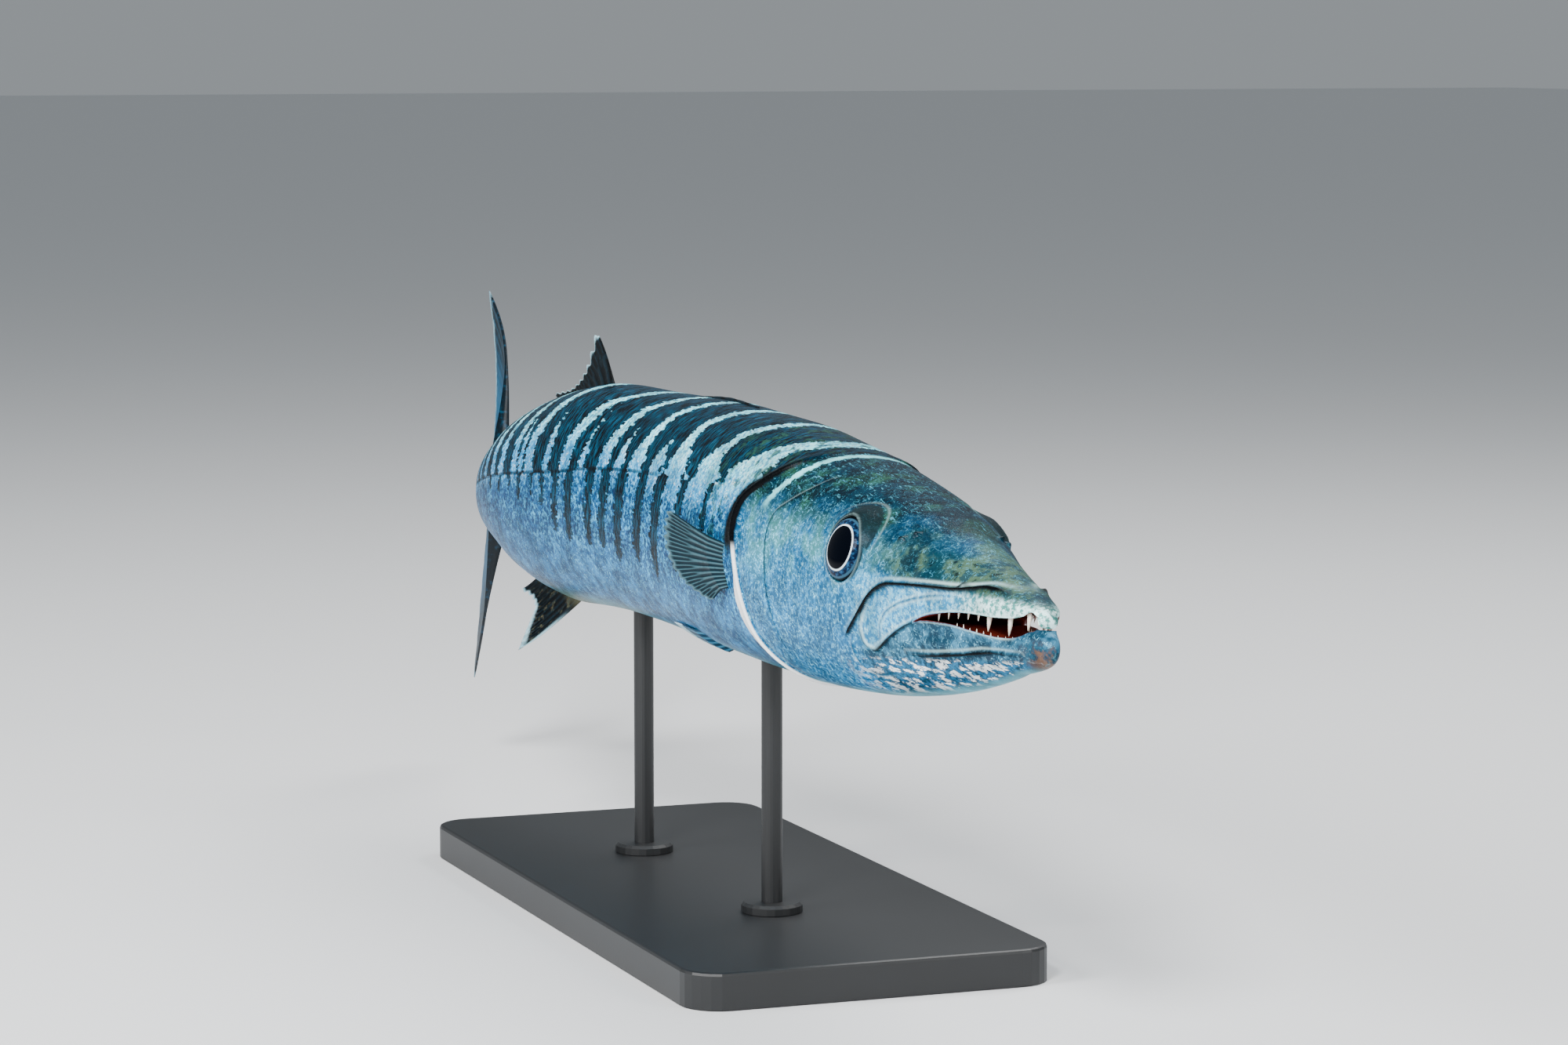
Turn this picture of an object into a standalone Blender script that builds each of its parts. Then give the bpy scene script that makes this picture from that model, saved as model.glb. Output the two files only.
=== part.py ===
# A life-size great barracuda on a display stand.
# The fish is modelled straight, nose to the front, in its own frame: +X ahead, +Y its left, +Z up, with
# the tip of the upper jaw at x = 0. Each piece is then laid along the swimming curve and set on the stand.
# Row frame: +X towards the head, +Z up, origin at the middle of the stand's underside. Metres.

import math

import bmesh
import bpy
import numpy as np
from mathutils import Matrix, Vector

BODY_LENGTH = 1.000  # tip of the upper jaw to the root of the tail fin
GAP = 0.0003  # between neighbouring pieces
RING_POINTS = 36

# Distance behind the upper jaw's tip, half width, height above and depth below the spine line.
SECTIONS = (
    (0.0000, 0.0032, 0.0002, -0.0056),
    (0.0012, 0.0050, 0.0016, -0.0090),
    (0.0035, 0.0070, 0.0030, -0.0140),
    (0.0080, 0.0092, 0.0046, -0.0220),
    (0.0150, 0.0122, 0.0068, -0.0286),
    (0.0250, 0.0156, 0.0091, -0.0350),
    (0.0500, 0.0228, 0.0145, -0.0428),
    (0.0720, 0.0277, 0.0194, -0.0486),
    (0.1000, 0.0340, 0.0272, -0.0550),
    (0.1400, 0.0428, 0.0384, -0.0625),
    (0.1800, 0.0491, 0.0466, -0.0684),
    (0.2200, 0.0530, 0.0530, -0.0722),
    (0.2600, 0.0560, 0.0586, -0.0748),
    (0.3200, 0.0590, 0.0658, -0.0764),
    (0.4000, 0.0615, 0.0706, -0.0778),
    (0.5000, 0.0605, 0.0700, -0.0798),
    (0.5600, 0.0590, 0.0664, -0.0812),
    (0.6200, 0.0570, 0.0640, -0.0826),
    (0.6700, 0.0550, 0.0646, -0.0836),
    (0.7000, 0.0535, 0.0622, -0.0838),
    (0.7500, 0.0502, 0.0568, -0.0778),
    (0.8000, 0.0450, 0.0502, -0.0655),
    (0.8500, 0.0370, 0.0420, -0.0495),
    (0.9000, 0.0288, 0.0355, -0.0385),
    (0.9500, 0.0205, 0.0325, -0.0330),
    (1.0000, 0.0112, 0.0333, -0.0335),
)
# The lower jaw's tip, which stands out ahead of the upper jaw and sinks into the body behind.
CHIN_SECTIONS = (
    (-0.0098, 0.0012, -0.0166, -0.0198),
    (-0.0093, 0.0024, -0.0148, -0.0216),
    (-0.0080, 0.0038, -0.0124, -0.0240),
    (-0.0050, 0.0054, -0.0100, -0.0264),
    (0.0000, 0.0074, -0.0078, -0.0286),
    (0.0060, 0.0096, -0.0052, -0.0304),
    (0.0140, 0.0126, -0.0036, -0.0324),
    (0.0240, 0.0150, -0.0044, -0.0346),
    (0.0360, 0.0168, -0.0070, -0.0366),
    (0.0480, 0.0172, -0.0100, -0.0378),
)
# How square the sections are above and below the spine line: 2 is an ellipse.
SQUARENESS = (
    (-0.013, 2.2, 2.2), (0.0, 2.0, 2.1), (0.02, 1.75, 2.0), (0.06, 1.70, 1.95), (0.10, 1.75, 2.0), (0.14, 2.05, 2.1),
    (0.18, 2.3, 2.3), (0.35, 2.2, 2.2), (1.0, 2.1, 2.1),
)
STATION_RUNS = ((0.0250, 0.3100, 27), (0.3300, 0.6200, 12), (0.6400, 1.0000, 17))

# Swimming curve: distance back, turn to the left (negative) or right, and climb, in radians.
TURNS = ((0.30, 0.0), (0.45, 0.0), (0.60, 0.100), (0.75, 0.050), (0.90, -0.125), (1.05, -0.229), (1.25, -0.229))
CLIMBS = ((0.30, 0.0), (0.55, 0.040), (0.80, -0.145), (1.05, -0.058), (1.25, -0.058))
TWIST = 0.045  # radians of roll a metre, behind TWIST_FROM
TWIST_FROM = 0.30
BANK = 0.0926  # the right side up

# Mouth: middle of the gape and half its height, from ahead of the lips to below the throat.
GAPE = (
    (-0.0350, -0.0082, 0.0006),
    (-0.0100, -0.0082, 0.0006),
    (0.0000, -0.0082, 0.0007),
    (0.0010, -0.0080, 0.0009),
    (0.0030, -0.0050, 0.0034),
    (0.0055, -0.0046, 0.0050),
    (0.0120, -0.0080, 0.0050),
    (0.0200, -0.0100, 0.0050),
    (0.0380, -0.0113, 0.0047),
    (0.0530, -0.0112, 0.0042),
    (0.0680, -0.0115, 0.0031),
    (0.0850, -0.0132, 0.0018),
    (0.0970, -0.0152, 0.0007),
    (0.1060, -0.0182, GAP / 2),
    (0.1170, -0.0230, GAP / 2),
    (0.1300, -0.0297, GAP / 2),
    (0.1420, -0.0362, GAP / 2),
    (0.1520, -0.0396, GAP / 2),
    (0.1680, -0.0412, GAP / 2),
    (0.1850, -0.0520, GAP / 2),
    (0.1960, -0.0700, GAP / 2),
    (0.2020, -0.1050, GAP / 2),
)
MOUTH_CORNER = 0.1000
LIP_WIDTH = 0.0042
MOUTH_HOLLOW = 0.0042  # how far the roof and the floor lie behind the lips' edges
TONGUE_SHARE = 0.30  # of the half width

# Grooves of the head, as places on its side: distance back, height.
JAW_PLATE_TOP = (
    (0.0220, 0.0050), (0.0370, 0.0074), (0.0470, 0.0076), (0.0570, 0.0062), (0.0700, 0.0042), (0.0950, 0.0026),
    (0.1170, 0.0010), (0.1300, -0.0005), (0.1390, -0.0036), (0.1460, -0.0080),
)
JAW_FOLD = (*JAW_PLATE_TOP, (0.1630, -0.0245), (0.1780, -0.0370))
JAW_PLATE = (*JAW_PLATE_TOP, (0.1560, -0.0200), (0.1600, -0.0300))
JAW_PLATE_LIP = (
    (0.0120, 0.0000), (0.0270, -0.0044), (0.0400, -0.0058), (0.0530, -0.0060), (0.0680, -0.0074), (0.0850, -0.0102),
    (0.0970, -0.0134), (0.1080, -0.0182), (0.1190, -0.0236), (0.1310, -0.0294), (0.1430, -0.0358), (0.1540, -0.0392),
)
PLATE_LIFT = 0.0012
LOWER_LIP = ((0.0100, -0.0138), (0.0380, -0.0170), (0.0680, -0.0158), (0.1060, -0.0192), (0.1260, -0.0290))
CHIN_GROOVE = ((0.0110, -0.0236), (0.0370, -0.0256), (0.0710, -0.0310), (0.0940, -0.0345), (0.1180, -0.0370))
CHEEK_GROOVE = (
    (0.2490, 0.0410), (0.2640, 0.0315), (0.2770, 0.0225), (0.2800, 0.0110), (0.2790, -0.0030), (0.2760, -0.0205),
    (0.2730, -0.0385), (0.2700, -0.0520), (0.2620, -0.0640),
)
GILL_EDGE = (
    (0.2780, 0.1000), (0.2920, 0.0475), (0.3060, 0.0360), (0.3200, 0.0230), (0.3240, 0.0060), (0.3220, -0.0050),
    (0.3180, -0.0170), (0.3130, -0.0345), (0.3080, -0.0525), (0.2980, -0.0650), (0.2860, -0.0740), (0.2640, -0.1200),
)
NOSTRILS = ((0.1350, 0.0240, 0.0019), (0.1300, 0.0275, 0.0013))
TAIL_FROM = 0.620

EYE_AT = (0.1810, 0.0134)
EYE_RADIUS = 0.0172
EYE_DEPTH = 0.0086
EYE_STANDS_OUT = 0.0046
EYE_AXIS = Vector((0.14, 1.0, 0.20)).normalized()
ORBIT_SHIFT = (0.0050, 0.0066)  # ahead and up from the eye's middle
ORBIT_RADIUS = 0.0232
ORBIT_DEPTH = 0.0062
ORBIT_LIFT = 0.0010

# Tail fin: places as distance back and half height, and how far the upper lobe bends to the left.
CAUDAL_ROOT = (0.988, 0.0318)
CAUDAL_TIP = (1.166, 0.149)
FORK_S = 1.062
CAUDAL_BOW = 0.0078

STAND_HEIGHT = 0.255  # of the spine line at the nose
NOSE_X = 0.510
BASE_SIZE = (0.540, 0.230, 0.022)
ROD_RADIUS = 0.0065
ROD_PLACES = (0.400, 0.620)
ROD_SPARE = 0.030  # taller than the belly before the body is cut from the rod
FOOT_RADIUS = 0.019
FOOT_HEIGHT = 0.006
FOOT_EDGE = 0.0018
BASE_CORNER = 0.024
BASE_EDGE = 0.002

COLOURS = {
    "skin": (0.30, 0.42, 0.50),
    "fin": (0.10, 0.14, 0.17),
    "eye": (0.02, 0.03, 0.06),
    "stand": (0.06, 0.06, 0.065),
}


def clear_scene():
    for item in list(bpy.data.objects):
        bpy.data.objects.remove(item)


def new_collection(name, hidden=False):
    collection = bpy.data.collections.new(name)
    collection.hide_render = hidden
    bpy.context.scene.collection.children.link(collection)
    return collection


def material(name, colour, roughness, metallic=0.0):
    made = bpy.data.materials.new(name)
    made.use_nodes = True
    shader = made.node_tree.nodes["Principled BSDF"]
    shader.inputs["Base Color"].default_value = (*colour, 1.0)
    shader.inputs["Roughness"].default_value = roughness
    shader.inputs["Metallic"].default_value = metallic
    return made


def through(points, at):
    """Reads a smooth curve through rows of (place, value, value ...) that never overshoots them."""
    rows = np.array(points, float)
    x = rows[:, 0]
    at = np.clip(np.asarray(at, float), x[0], x[-1])
    span = np.diff(x)
    place = np.clip(np.searchsorted(x, at, side="right") - 1, 0, len(span) - 1)
    part = (at - x[place]) / span[place]
    columns = []
    for y in rows[:, 1:].T:
        slope = np.diff(y) / span
        same_way = slope[:-1] * slope[1:] > 0
        inner = np.where(same_way, 2 * slope[:-1] * slope[1:] / np.where(same_way, slope[:-1] + slope[1:], 1), 0)
        tangent = np.concatenate([slope[:1], inner, slope[-1:]])
        rise = part * part * (3 - 2 * part)
        start = part * (1 - part) ** 2
        end = -part * part * (1 - part)
        flat = y[place] * (1 - rise) + y[place + 1] * rise
        columns.append(flat + span[place] * (start * tangent[place] + end * tangent[place + 1]))
    return columns[0] if len(columns) == 1 else columns


def ring(s, sections=SECTIONS):
    """The section at distance s, as RING_POINTS points from its left side over the top."""
    width, top, bottom = through(sections, s)
    turn = np.linspace(0, 2 * math.pi, RING_POINTS, endpoint=False)
    above, below = through(SQUARENESS, s)
    power = 2 / np.where(np.sin(turn) > 0, above, below)
    across = np.sign(np.cos(turn)) * np.abs(np.cos(turn)) ** power
    upward = np.sign(np.sin(turn)) * np.abs(np.sin(turn)) ** power
    middle = 0.0 if top > 0 else (top + bottom) / 2
    height = np.where(upward > 0, top - middle, middle - bottom)
    return np.stack([np.full_like(turn, -s), width * across, middle + height * upward], 1)


def side_width(s, z):
    """Half the body's width at distance s and height z."""
    width, top, bottom = through(SECTIONS, s)
    above, below = through(SQUARENESS, s)
    power = np.where(np.asarray(z) > 0, above, below)
    reach = np.where(np.asarray(z) > 0, top, -bottom)
    share = np.clip(np.abs(z) / reach, 0, 0.98)
    return width * (1 - share**power) ** (1 / power)


def lip_width(s, z):
    """Half the width of the jaws at the gape, the further out of the two."""
    chin_width = float(through(CHIN_SECTIONS, s)[0])
    return max(chin_width, float(side_width(max(s, 0.0), z))) if s < 0.034 else float(side_width(s, z))


def on_side(s, z, sink=0.0):
    return Vector((-s, float(side_width(s, z)) - sink, z))


def spine_line():
    """The swimming curve as arrays: distance, place, turn and climb, every millimetre."""
    s = np.arange(0, 1.26, 0.001)
    turn = through(TURNS, s)
    climb = through(CLIMBS, s)
    heading = np.stack([-np.cos(turn) * np.cos(climb), -np.sin(turn) * np.cos(climb), np.sin(climb)], 1)
    steps = (heading[1:] + heading[:-1]) / 2 * 0.001
    return s, np.concatenate([np.zeros((1, 3)), np.cumsum(steps, 0)]), turn, climb


def swim(points):
    """Moves points of the straight fish to where they are in the stand's frame."""
    points = np.asarray(points, float)
    s = -points[:, 0]
    line, places, turns, climbs = spine_line()
    behind = np.clip(s, 0, None)
    place = np.stack([np.interp(behind, line, places[:, i]) for i in range(3)], 1)
    place[:, 0] -= np.minimum(s, 0)
    turn = np.interp(behind, line, turns)
    climb = np.interp(behind, line, climbs)
    roll = TWIST * np.clip(s - TWIST_FROM, 0, None)
    left = points[:, 1] * np.cos(roll) - points[:, 2] * np.sin(roll)
    up = points[:, 1] * np.sin(roll) + points[:, 2] * np.cos(roll)
    left_way = np.stack([-np.sin(turn), np.cos(turn), 0 * turn], 1)
    up_way = np.stack([np.sin(climb) * np.cos(turn), np.sin(climb) * np.sin(turn), np.cos(climb)], 1)
    bent = place + left_way * left[:, None] + up_way * up[:, None]
    x, y, z = bent.T
    across = y * math.cos(BANK) + z * math.sin(BANK)
    height = z * math.cos(BANK) - y * math.sin(BANK)
    return np.stack([x + NOSE_X, across, height + STAND_HEIGHT], 1)


def make_object(name, points, faces, collection):
    mesh = bpy.data.meshes.new(name)
    mesh.from_pydata([tuple(p) for p in points], [], [tuple(f) for f in faces])
    made = bpy.data.objects.new(name, mesh)
    collection.objects.link(made)
    if collection.hide_render:
        made.hide_render = True
        made.display_type = "WIRE"
    return made


def tidy_mesh(item, triangles=True):
    """Turns the faces outwards and splits them into triangles."""
    form = bmesh.new()
    form.from_mesh(item.data)
    bmesh.ops.recalc_face_normals(form, faces=form.faces)
    if triangles:
        bmesh.ops.triangulate(form, faces=form.faces)
    form.to_mesh(item.data)
    form.free()


def loft(name, rings, collection):
    """A closed solid through rings of as many points each, its two ends capped."""
    rings = np.asarray(rings)
    count = rings.shape[1]
    faces = [tuple(range(count)), tuple((len(rings) - 1) * count + k for k in reversed(range(count)))]
    for i in range(len(rings) - 1):
        for k in range(count):
            after = (k + 1) % count
            faces.append((i * count + after, i * count + k, (i + 1) * count + k, (i + 1) * count + after))
    made = make_object(name, rings.reshape(-1, 3), faces, collection)
    tidy_mesh(made)
    return made


def tube(name, path, radii, collection, sides=5):
    """A tube of changing radius along a path of Vectors."""
    rings = []
    for k, point in enumerate(path):
        ahead = path[min(k + 1, len(path) - 1)] - path[max(k - 1, 0)]
        first = ahead.cross(Vector((0, 1, 0))).normalized()
        second = ahead.cross(first).normalized()
        corners = [2 * math.pi * j / sides for j in range(sides)]
        rings.append([point + (first * math.cos(a) + second * math.sin(a)) * radii[k] for a in corners])
    return loft(name, rings, collection)


def inflate(item, name, distance, collection):
    """A copy of a solid with every face about this much further out."""
    grown = item.data.copy()
    form = bmesh.new()
    form.from_mesh(grown)
    form.normal_update()
    for vertex in form.verts:
        vertex.co += vertex.normal * distance * 1.05
    form.to_mesh(grown)
    form.free()
    made = bpy.data.objects.new(name, grown)
    collection.objects.link(made)
    made.hide_render = True
    made.display_type = "WIRE"
    return made


def combine(item, others, operation, solver="EXACT"):
    """Cuts solids from this one, or joins them to it, and keeps its largest closed surface."""
    for other in others:
        modifier = item.modifiers.new(operation.lower(), "BOOLEAN")
        modifier.operation = operation
        modifier.solver = solver
        modifier.object = other
    graph = bpy.context.evaluated_depsgraph_get()
    result = bpy.data.meshes.new_from_object(item.evaluated_get(graph))
    item.modifiers.clear()
    item.data = result
    return item


def islands(item):
    """The closed surfaces of a mesh as (points, faces), largest first."""
    form = bmesh.new()
    form.from_mesh(item.data)
    form.faces.ensure_lookup_table()
    waiting = set(form.faces)
    found = []
    while waiting:
        group = {waiting.pop()}
        edge = list(group)
        while edge:
            face = edge.pop()
            near = {other for side in face.edges for other in side.link_faces} & waiting
            waiting -= near
            group |= near
            edge.extend(near)
        group = sorted(group, key=lambda face: face.index)
        used = sorted({v.index for face in group for v in face.verts})
        index = {v: k for k, v in enumerate(used)}
        form.verts.ensure_lookup_table()
        points = np.array([form.verts[v].co for v in used])
        found.append((points, [[index[v.index] for v in face.verts] for face in group]))
    form.free()
    return sorted(found, key=lambda part: -np.prod(np.ptp(part[0], axis=0)))


def keep_largest(item):
    points, faces = islands(item)[0]
    item.data.clear_geometry()
    item.data.from_pydata(points.tolist(), [], faces)


def blend_rows(rows, share):
    """Reads rows of numbers at a share of the way from the first to the last, smoothly."""
    places = np.linspace(0, 1, len(rows))
    return through([(p, *np.atleast_1d(row)) for p, row in zip(places, rows)], share)


def body_stations():
    fine_nose = [section[0] for section in SECTIONS[:5]]
    runs = [np.linspace(start, end, count) for start, end, count in STATION_RUNS]
    return np.concatenate([fine_nose, *runs])


def fade_in(value, start, end):
    share = min(1.0, max(0.0, (value - start) / (end - start)))
    return share * share * (3 - 2 * share)


def gape_cutter(collection):
    """The mouth from its lips to the thin cut that parts the lower jaw from the throat."""
    rows = np.array(GAPE)
    path, half = rows[:, :2], rows[:, 2]
    way = np.gradient(path, axis=0)
    way /= np.linalg.norm(way, axis=1)[:, None]
    normal = np.stack([-way[:, 1], way[:, 0]], 1)
    normal[path[:, 0] < MOUTH_CORNER] = (0, 1)
    rings = []
    for k, (s, z) in enumerate(path):
        width = lip_width(s, z) if s < 0.18 else 0.05
        inner = max(width - LIP_WIDTH, width * 0.5)
        open_share = min(1.0, max(0.0, (half[k] - GAP / 2) / 0.003)) * (s > -0.001)
        hollow = MOUTH_HOLLOW * open_share * fade_in(s, 0.004, 0.020)
        tongue = max(half[k] * 2 + hollow - 0.0012, 0) * open_share * fade_in(s, 0.010, 0.040)
        across = [0.12, width * 0.97, inner, inner * 0.75, width * TONGUE_SHARE, width * TONGUE_SHARE * 0.4]
        roof = [0.0, 0.0, hollow * 0.5, hollow, hollow, hollow]
        floor = [0.0, 0.0, hollow * 0.8, hollow, hollow * 0.6 - tongue * 0.55, -tongue]
        if s < 0.0005:
            across[1:] = [0.1, 0.08, 0.06, 0.04, 0.02]
        upper = [(y, half[k] + r) for y, r in zip(across, roof)]
        lower = [(y, -half[k] - f) for y, f in zip(across, floor)]
        lower = [(y, min(low, half[k] + rise - 0.0006)) for (y, low), rise in zip(lower, roof)]
        if open_share == 0:
            lower = [(y, -half[k]) for y in across]
        around = upper + [(-y, h) for y, h in reversed(upper)] + [(-y, h) for y, h in lower]
        around += [(y, h) for y, h in reversed(lower)]
        s_way, z_way = normal[k]
        rings.append([(-(s + s_way * h), y, z + z_way * h) for y, h in around])
    return loft("gape_cutter", rings, collection)


def curtain_cutter(name, line, half, collection):
    """A thin cut right through the body, along a line of (distance, height)."""
    line = np.array(line, float)
    way = np.gradient(line, axis=0)
    way /= np.linalg.norm(way, axis=1)[:, None]
    normal = np.stack([-way[:, 1], way[:, 0]], 1) * half
    reach = 0.12
    rings = []
    for (s, z), (ds, dz) in zip(line, normal):
        corners = ((s + ds, reach, z + dz), (s + ds, -reach, z + dz), (s - ds, -reach, z - dz), (s - ds, reach, z - dz))
        rings.append([(-a, b, c) for a, b, c in corners])
    return loft(name, rings, collection)


def raised_plate(name, upper_line, lower_line, collection, count=13):
    """A slightly raised band between two lines on the side of the head, rooted under the skin, on both sides."""
    places = np.linspace(0, 1, count)
    upper_s, upper_z = blend_rows(upper_line, places)
    lower_s, lower_z = blend_rows(lower_line, places)
    shares = (0.0, 0.14, 0.5, 0.86, 1.0)
    made = []
    for side in (1, -1):
        rings = []
        for k, place in enumerate(places):
            fade = min(1.0, 3 * place, 6 * (1 - place))
            lifts = [PLATE_LIFT * (fade * share - (1 - fade)) for share in (-0.5, 0.8, 1.0, 0.9, 0.1)]
            outer = [
                mirrored(on_side(
                    float(upper_s[k] + (lower_s[k] - upper_s[k]) * share),
                    float(upper_z[k] + (lower_z[k] - upper_z[k]) * share), -lift), side)
                for share, lift in zip(shares, lifts)
            ]
            inner = [Vector((point.x, point.y - side * 0.004, point.z)) for point in (outer[-1], outer[0])]
            rings.append(outer + inner)
        made.append(loft(f"{name}_{side}", rings, collection))
    return made


def mirrored(vector, side):
    return Vector((vector.x, vector.y * side, vector.z))


def groove_cutters(name, line, radius, sink, collection, count=11):
    """A round-bottomed groove on both sides of the head, tapered at its ends."""
    rows = [tuple(row) for row in line]
    places = np.linspace(0, 1, count)
    s, z = blend_rows(rows, places)
    radii = radius * (0.25 + 0.75 * np.sin(math.pi * np.clip(places, 0.04, 0.96)) ** 0.5)
    made = []
    for side in (1, -1):
        path = [mirrored(on_side(float(a), float(b), sink), side) for a, b in zip(s, z)]
        made.append(tube(f"{name}_{side}", path, radii, collection))
    return made


def ellipsoid(name, middle, axis, radius, depth, collection, rings=10, around=16):
    """A flattened ball whose short axis lies along the given direction."""
    form = bmesh.new()
    bmesh.ops.create_uvsphere(form, u_segments=around, v_segments=rings, radius=1)
    turn = Vector((0, 0, 1)).rotation_difference(axis).to_matrix().to_4x4()
    bmesh.ops.transform(form, matrix=Matrix.Diagonal((radius, radius, depth, 1)), verts=form.verts)
    bmesh.ops.transform(form, matrix=Matrix.Translation(middle) @ turn, verts=form.verts)
    mesh = bpy.data.meshes.new(name)
    form.to_mesh(mesh)
    form.free()
    made = bpy.data.objects.new(name, mesh)
    collection.objects.link(made)
    if collection.hide_render:
        made.hide_render = True
        made.display_type = "WIRE"
    tidy_mesh(made)
    return made


def eye_place(side):
    """The middle of the eyeball and the way it looks."""
    s, z = EYE_AT
    axis = mirrored(EYE_AXIS, side)
    surface = mirrored(on_side(s, z), side)
    return surface + axis * (EYE_STANDS_OUT - EYE_DEPTH), axis


def fin_solid(name, points, thickness, collection):
    """A fin from a grid of points along and across its rays, each with its half thickness as a vector.

    Both faces are split into triangles alike.
    """
    points = np.asarray(points)
    along, across = points.shape[:2]
    faces = []
    total = along * across

    def corner(i, j, back):
        return i * across + j + (total if back else 0)

    for i in range(along - 1):
        for j in range(across - 1):
            a, b, c, d = (i, j), (i + 1, j), (i + 1, j + 1), (i, j + 1)
            for one, two, three in ((a, b, c), (a, c, d)):
                faces.append((corner(*one, False), corner(*two, False), corner(*three, False)))
                faces.append((corner(*three, True), corner(*two, True), corner(*one, True)))
    rim = [(i, 0) for i in range(along)] + [(along - 1, j) for j in range(1, across)]
    rim += [(i, across - 1) for i in reversed(range(along - 1))] + [(0, j) for j in reversed(range(1, across - 1))]
    for one, two in zip(rim, rim[1:] + rim[:1]):
        faces.append((corner(*two, False), corner(*one, False), corner(*one, True)))
        faces.append((corner(*two, False), corner(*one, True), corner(*two, True)))
    both = np.concatenate([(points + thickness).reshape(-1, 3), (points - thickness).reshape(-1, 3)])
    made = make_object(name, both, faces, collection)
    tidy_mesh(made)
    return made


def ray_thickness(rays, along, root, membrane, ridge):
    """Half thickness on a grid of rays: ridges over a membrane, thicker at the root, thin at the tips."""
    across = 2 * rays + 1
    u = np.linspace(0, 1, along)[:, None]
    raised = (np.arange(across) % 2 == 1)[None, :]
    base = membrane + (root - membrane) * np.clip(1 - u * 2.2, 0, 1) ** 1.5
    return base + ridge * raised * (1 - 0.72 * u)


def upright_fin(name, rays, along, base_line, tip_line, curve, flex, root, collection):
    """A fin in the fish's middle plane. Its lines are rows of (distance, height) from front to back."""
    v = np.linspace(0, 1, 2 * rays + 1)
    u = np.linspace(0, 1, along)
    base_s, base_z = blend_rows(base_line, v)
    tip_s, tip_z = blend_rows(tip_line, v)
    grid = np.zeros((along, len(v), 3))
    for i, part in enumerate(u):
        bow = curve * math.sin(math.pi * part)
        grid[i, :, 0] = -(base_s + (tip_s - base_s) * part) + bow * (tip_z - base_z)
        grid[i, :, 1] = flex * part**1.6 * np.hypot(tip_s - base_s, tip_z - base_z)
        grid[i, :, 2] = base_z + (tip_z - base_z) * part
    thick = ray_thickness(rays, along, root, 0.00028, 0.00042)
    return fin_solid(name, grid, thick[..., None] * np.array([0, 1, 0]), collection)


def edge_height(s, upper):
    return float(through(SECTIONS, s)[1 if upper else 2])


def fins(collection):
    """Every fin, each with its root still inside the body."""
    made = {}
    sink = 0.006
    start, end = 0.686, 0.776
    base = [(s, edge_height(s, True) - sink) for s in np.linspace(start, end, 5)]
    rise = (0.0375, 0.0225, 0.0105, 0.0070, 0.0085)
    back = (0.0400, 0.0330, 0.0230, 0.0190, 0.0220)
    tips = [(s + b, z + sink + r) for (s, z), b, r in zip(base, back, rise)]
    made["dorsal_fin_second"] = upright_fin(
        "dorsal_fin_second", 10, 7, base, tips, 0.10, 0.04, 0.0016, collection)
    start, end = 0.722, 0.806
    base = [(s, edge_height(s, False) + sink) for s in np.linspace(start, end, 5)]
    drop = (0.0370, 0.0280, 0.0150, 0.0105, 0.0105)
    back = (0.0640, 0.0480, 0.0300, 0.0220, 0.0240)
    tips = [(s + b, z - sink - d) for (s, z), b, d in zip(base, back, drop)]
    made["anal_fin"] = upright_fin("anal_fin", 9, 7, base, tips, 0.10, -0.36, 0.0016, collection)
    made["dorsal_fin_first"] = folded_dorsal(collection)
    for up, word in ((1, "upper"), (-1, "lower")):
        made[f"caudal_fin_{word}"] = caudal_lobe(f"caudal_fin_{word}", up, collection)
    for side, word in ((1, "left"), (-1, "right")):
        made[f"pectoral_fin_{word}"] = pectoral_fin(f"pectoral_fin_{word}", side, collection)
        made[f"pelvic_fin_{word}"] = pelvic_fin(f"pelvic_fin_{word}", side, collection)
    return made


def folded_dorsal(collection):
    """The first dorsal fin, its five spines laid back along the back's middle line."""
    rings = []
    for s in np.linspace(0.462, 0.560, 12):
        share = (s - 0.462) / 0.098
        z = edge_height(s, True)
        half = 0.0014 * math.sin(math.pi * min(share + 0.06, 0.97)) ** 0.5
        height = 0.0020 * (1 - 0.45 * share) * math.sin(math.pi * min(share * 0.5 + 0.12, 0.5)) * (1.02 - share**6)
        rings.append([(-s, half, z - 0.003), (-s, half, z + height * 0.5), (-s, half * 0.3, z + height),
                      (-s, -half * 0.3, z + height), (-s, -half, z + height * 0.5), (-s, -half, z - 0.003)])
    return loft("dorsal_fin_first", rings, collection)


def caudal_lobe(name, up, collection):
    """One lobe of the tail fin. The two meet along the middle line as far back as the fork."""
    rays, along = 8, 8
    reach = np.linspace(0, 1, 2 * rays + 1)
    u = np.linspace(0, 1, along)
    end_s = FORK_S + (CAUDAL_TIP[0] - FORK_S) * reach**1.25 + 0.006 * np.exp(-((reach / 0.16) ** 2))
    end_z = CAUDAL_TIP[1] * (0.30 * reach + 0.70 * reach**1.5)
    bow = (reach if up > 0 else 0 * reach) * CAUDAL_BOW
    grid = np.zeros((along, len(reach), 3))
    for i, part in enumerate(u):
        spread = part + 0.10 * math.sin(math.pi * part)
        height = CAUDAL_ROOT[1] * reach + (end_z - CAUDAL_ROOT[1] * reach) * spread
        grid[i, :, 0] = -(CAUDAL_ROOT[0] + (end_s - CAUDAL_ROOT[0]) * part)
        grid[i, :, 1] = bow * (np.sin(math.pi * reach) * part + math.sin(math.pi * part))
        grid[i, :, 2] = up * np.maximum(height, GAP / 2)
    thick = ray_thickness(rays, along, 0.0052, 0.00035, 0.0006)
    edge = np.exp(-(((1 - reach) / 0.10) ** 2))[None, :] * 0.0011 * (1 - 0.75 * u[:, None])
    return fin_solid(name, grid, (thick + edge)[..., None] * np.array([0, 1, 0]), collection)


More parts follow.
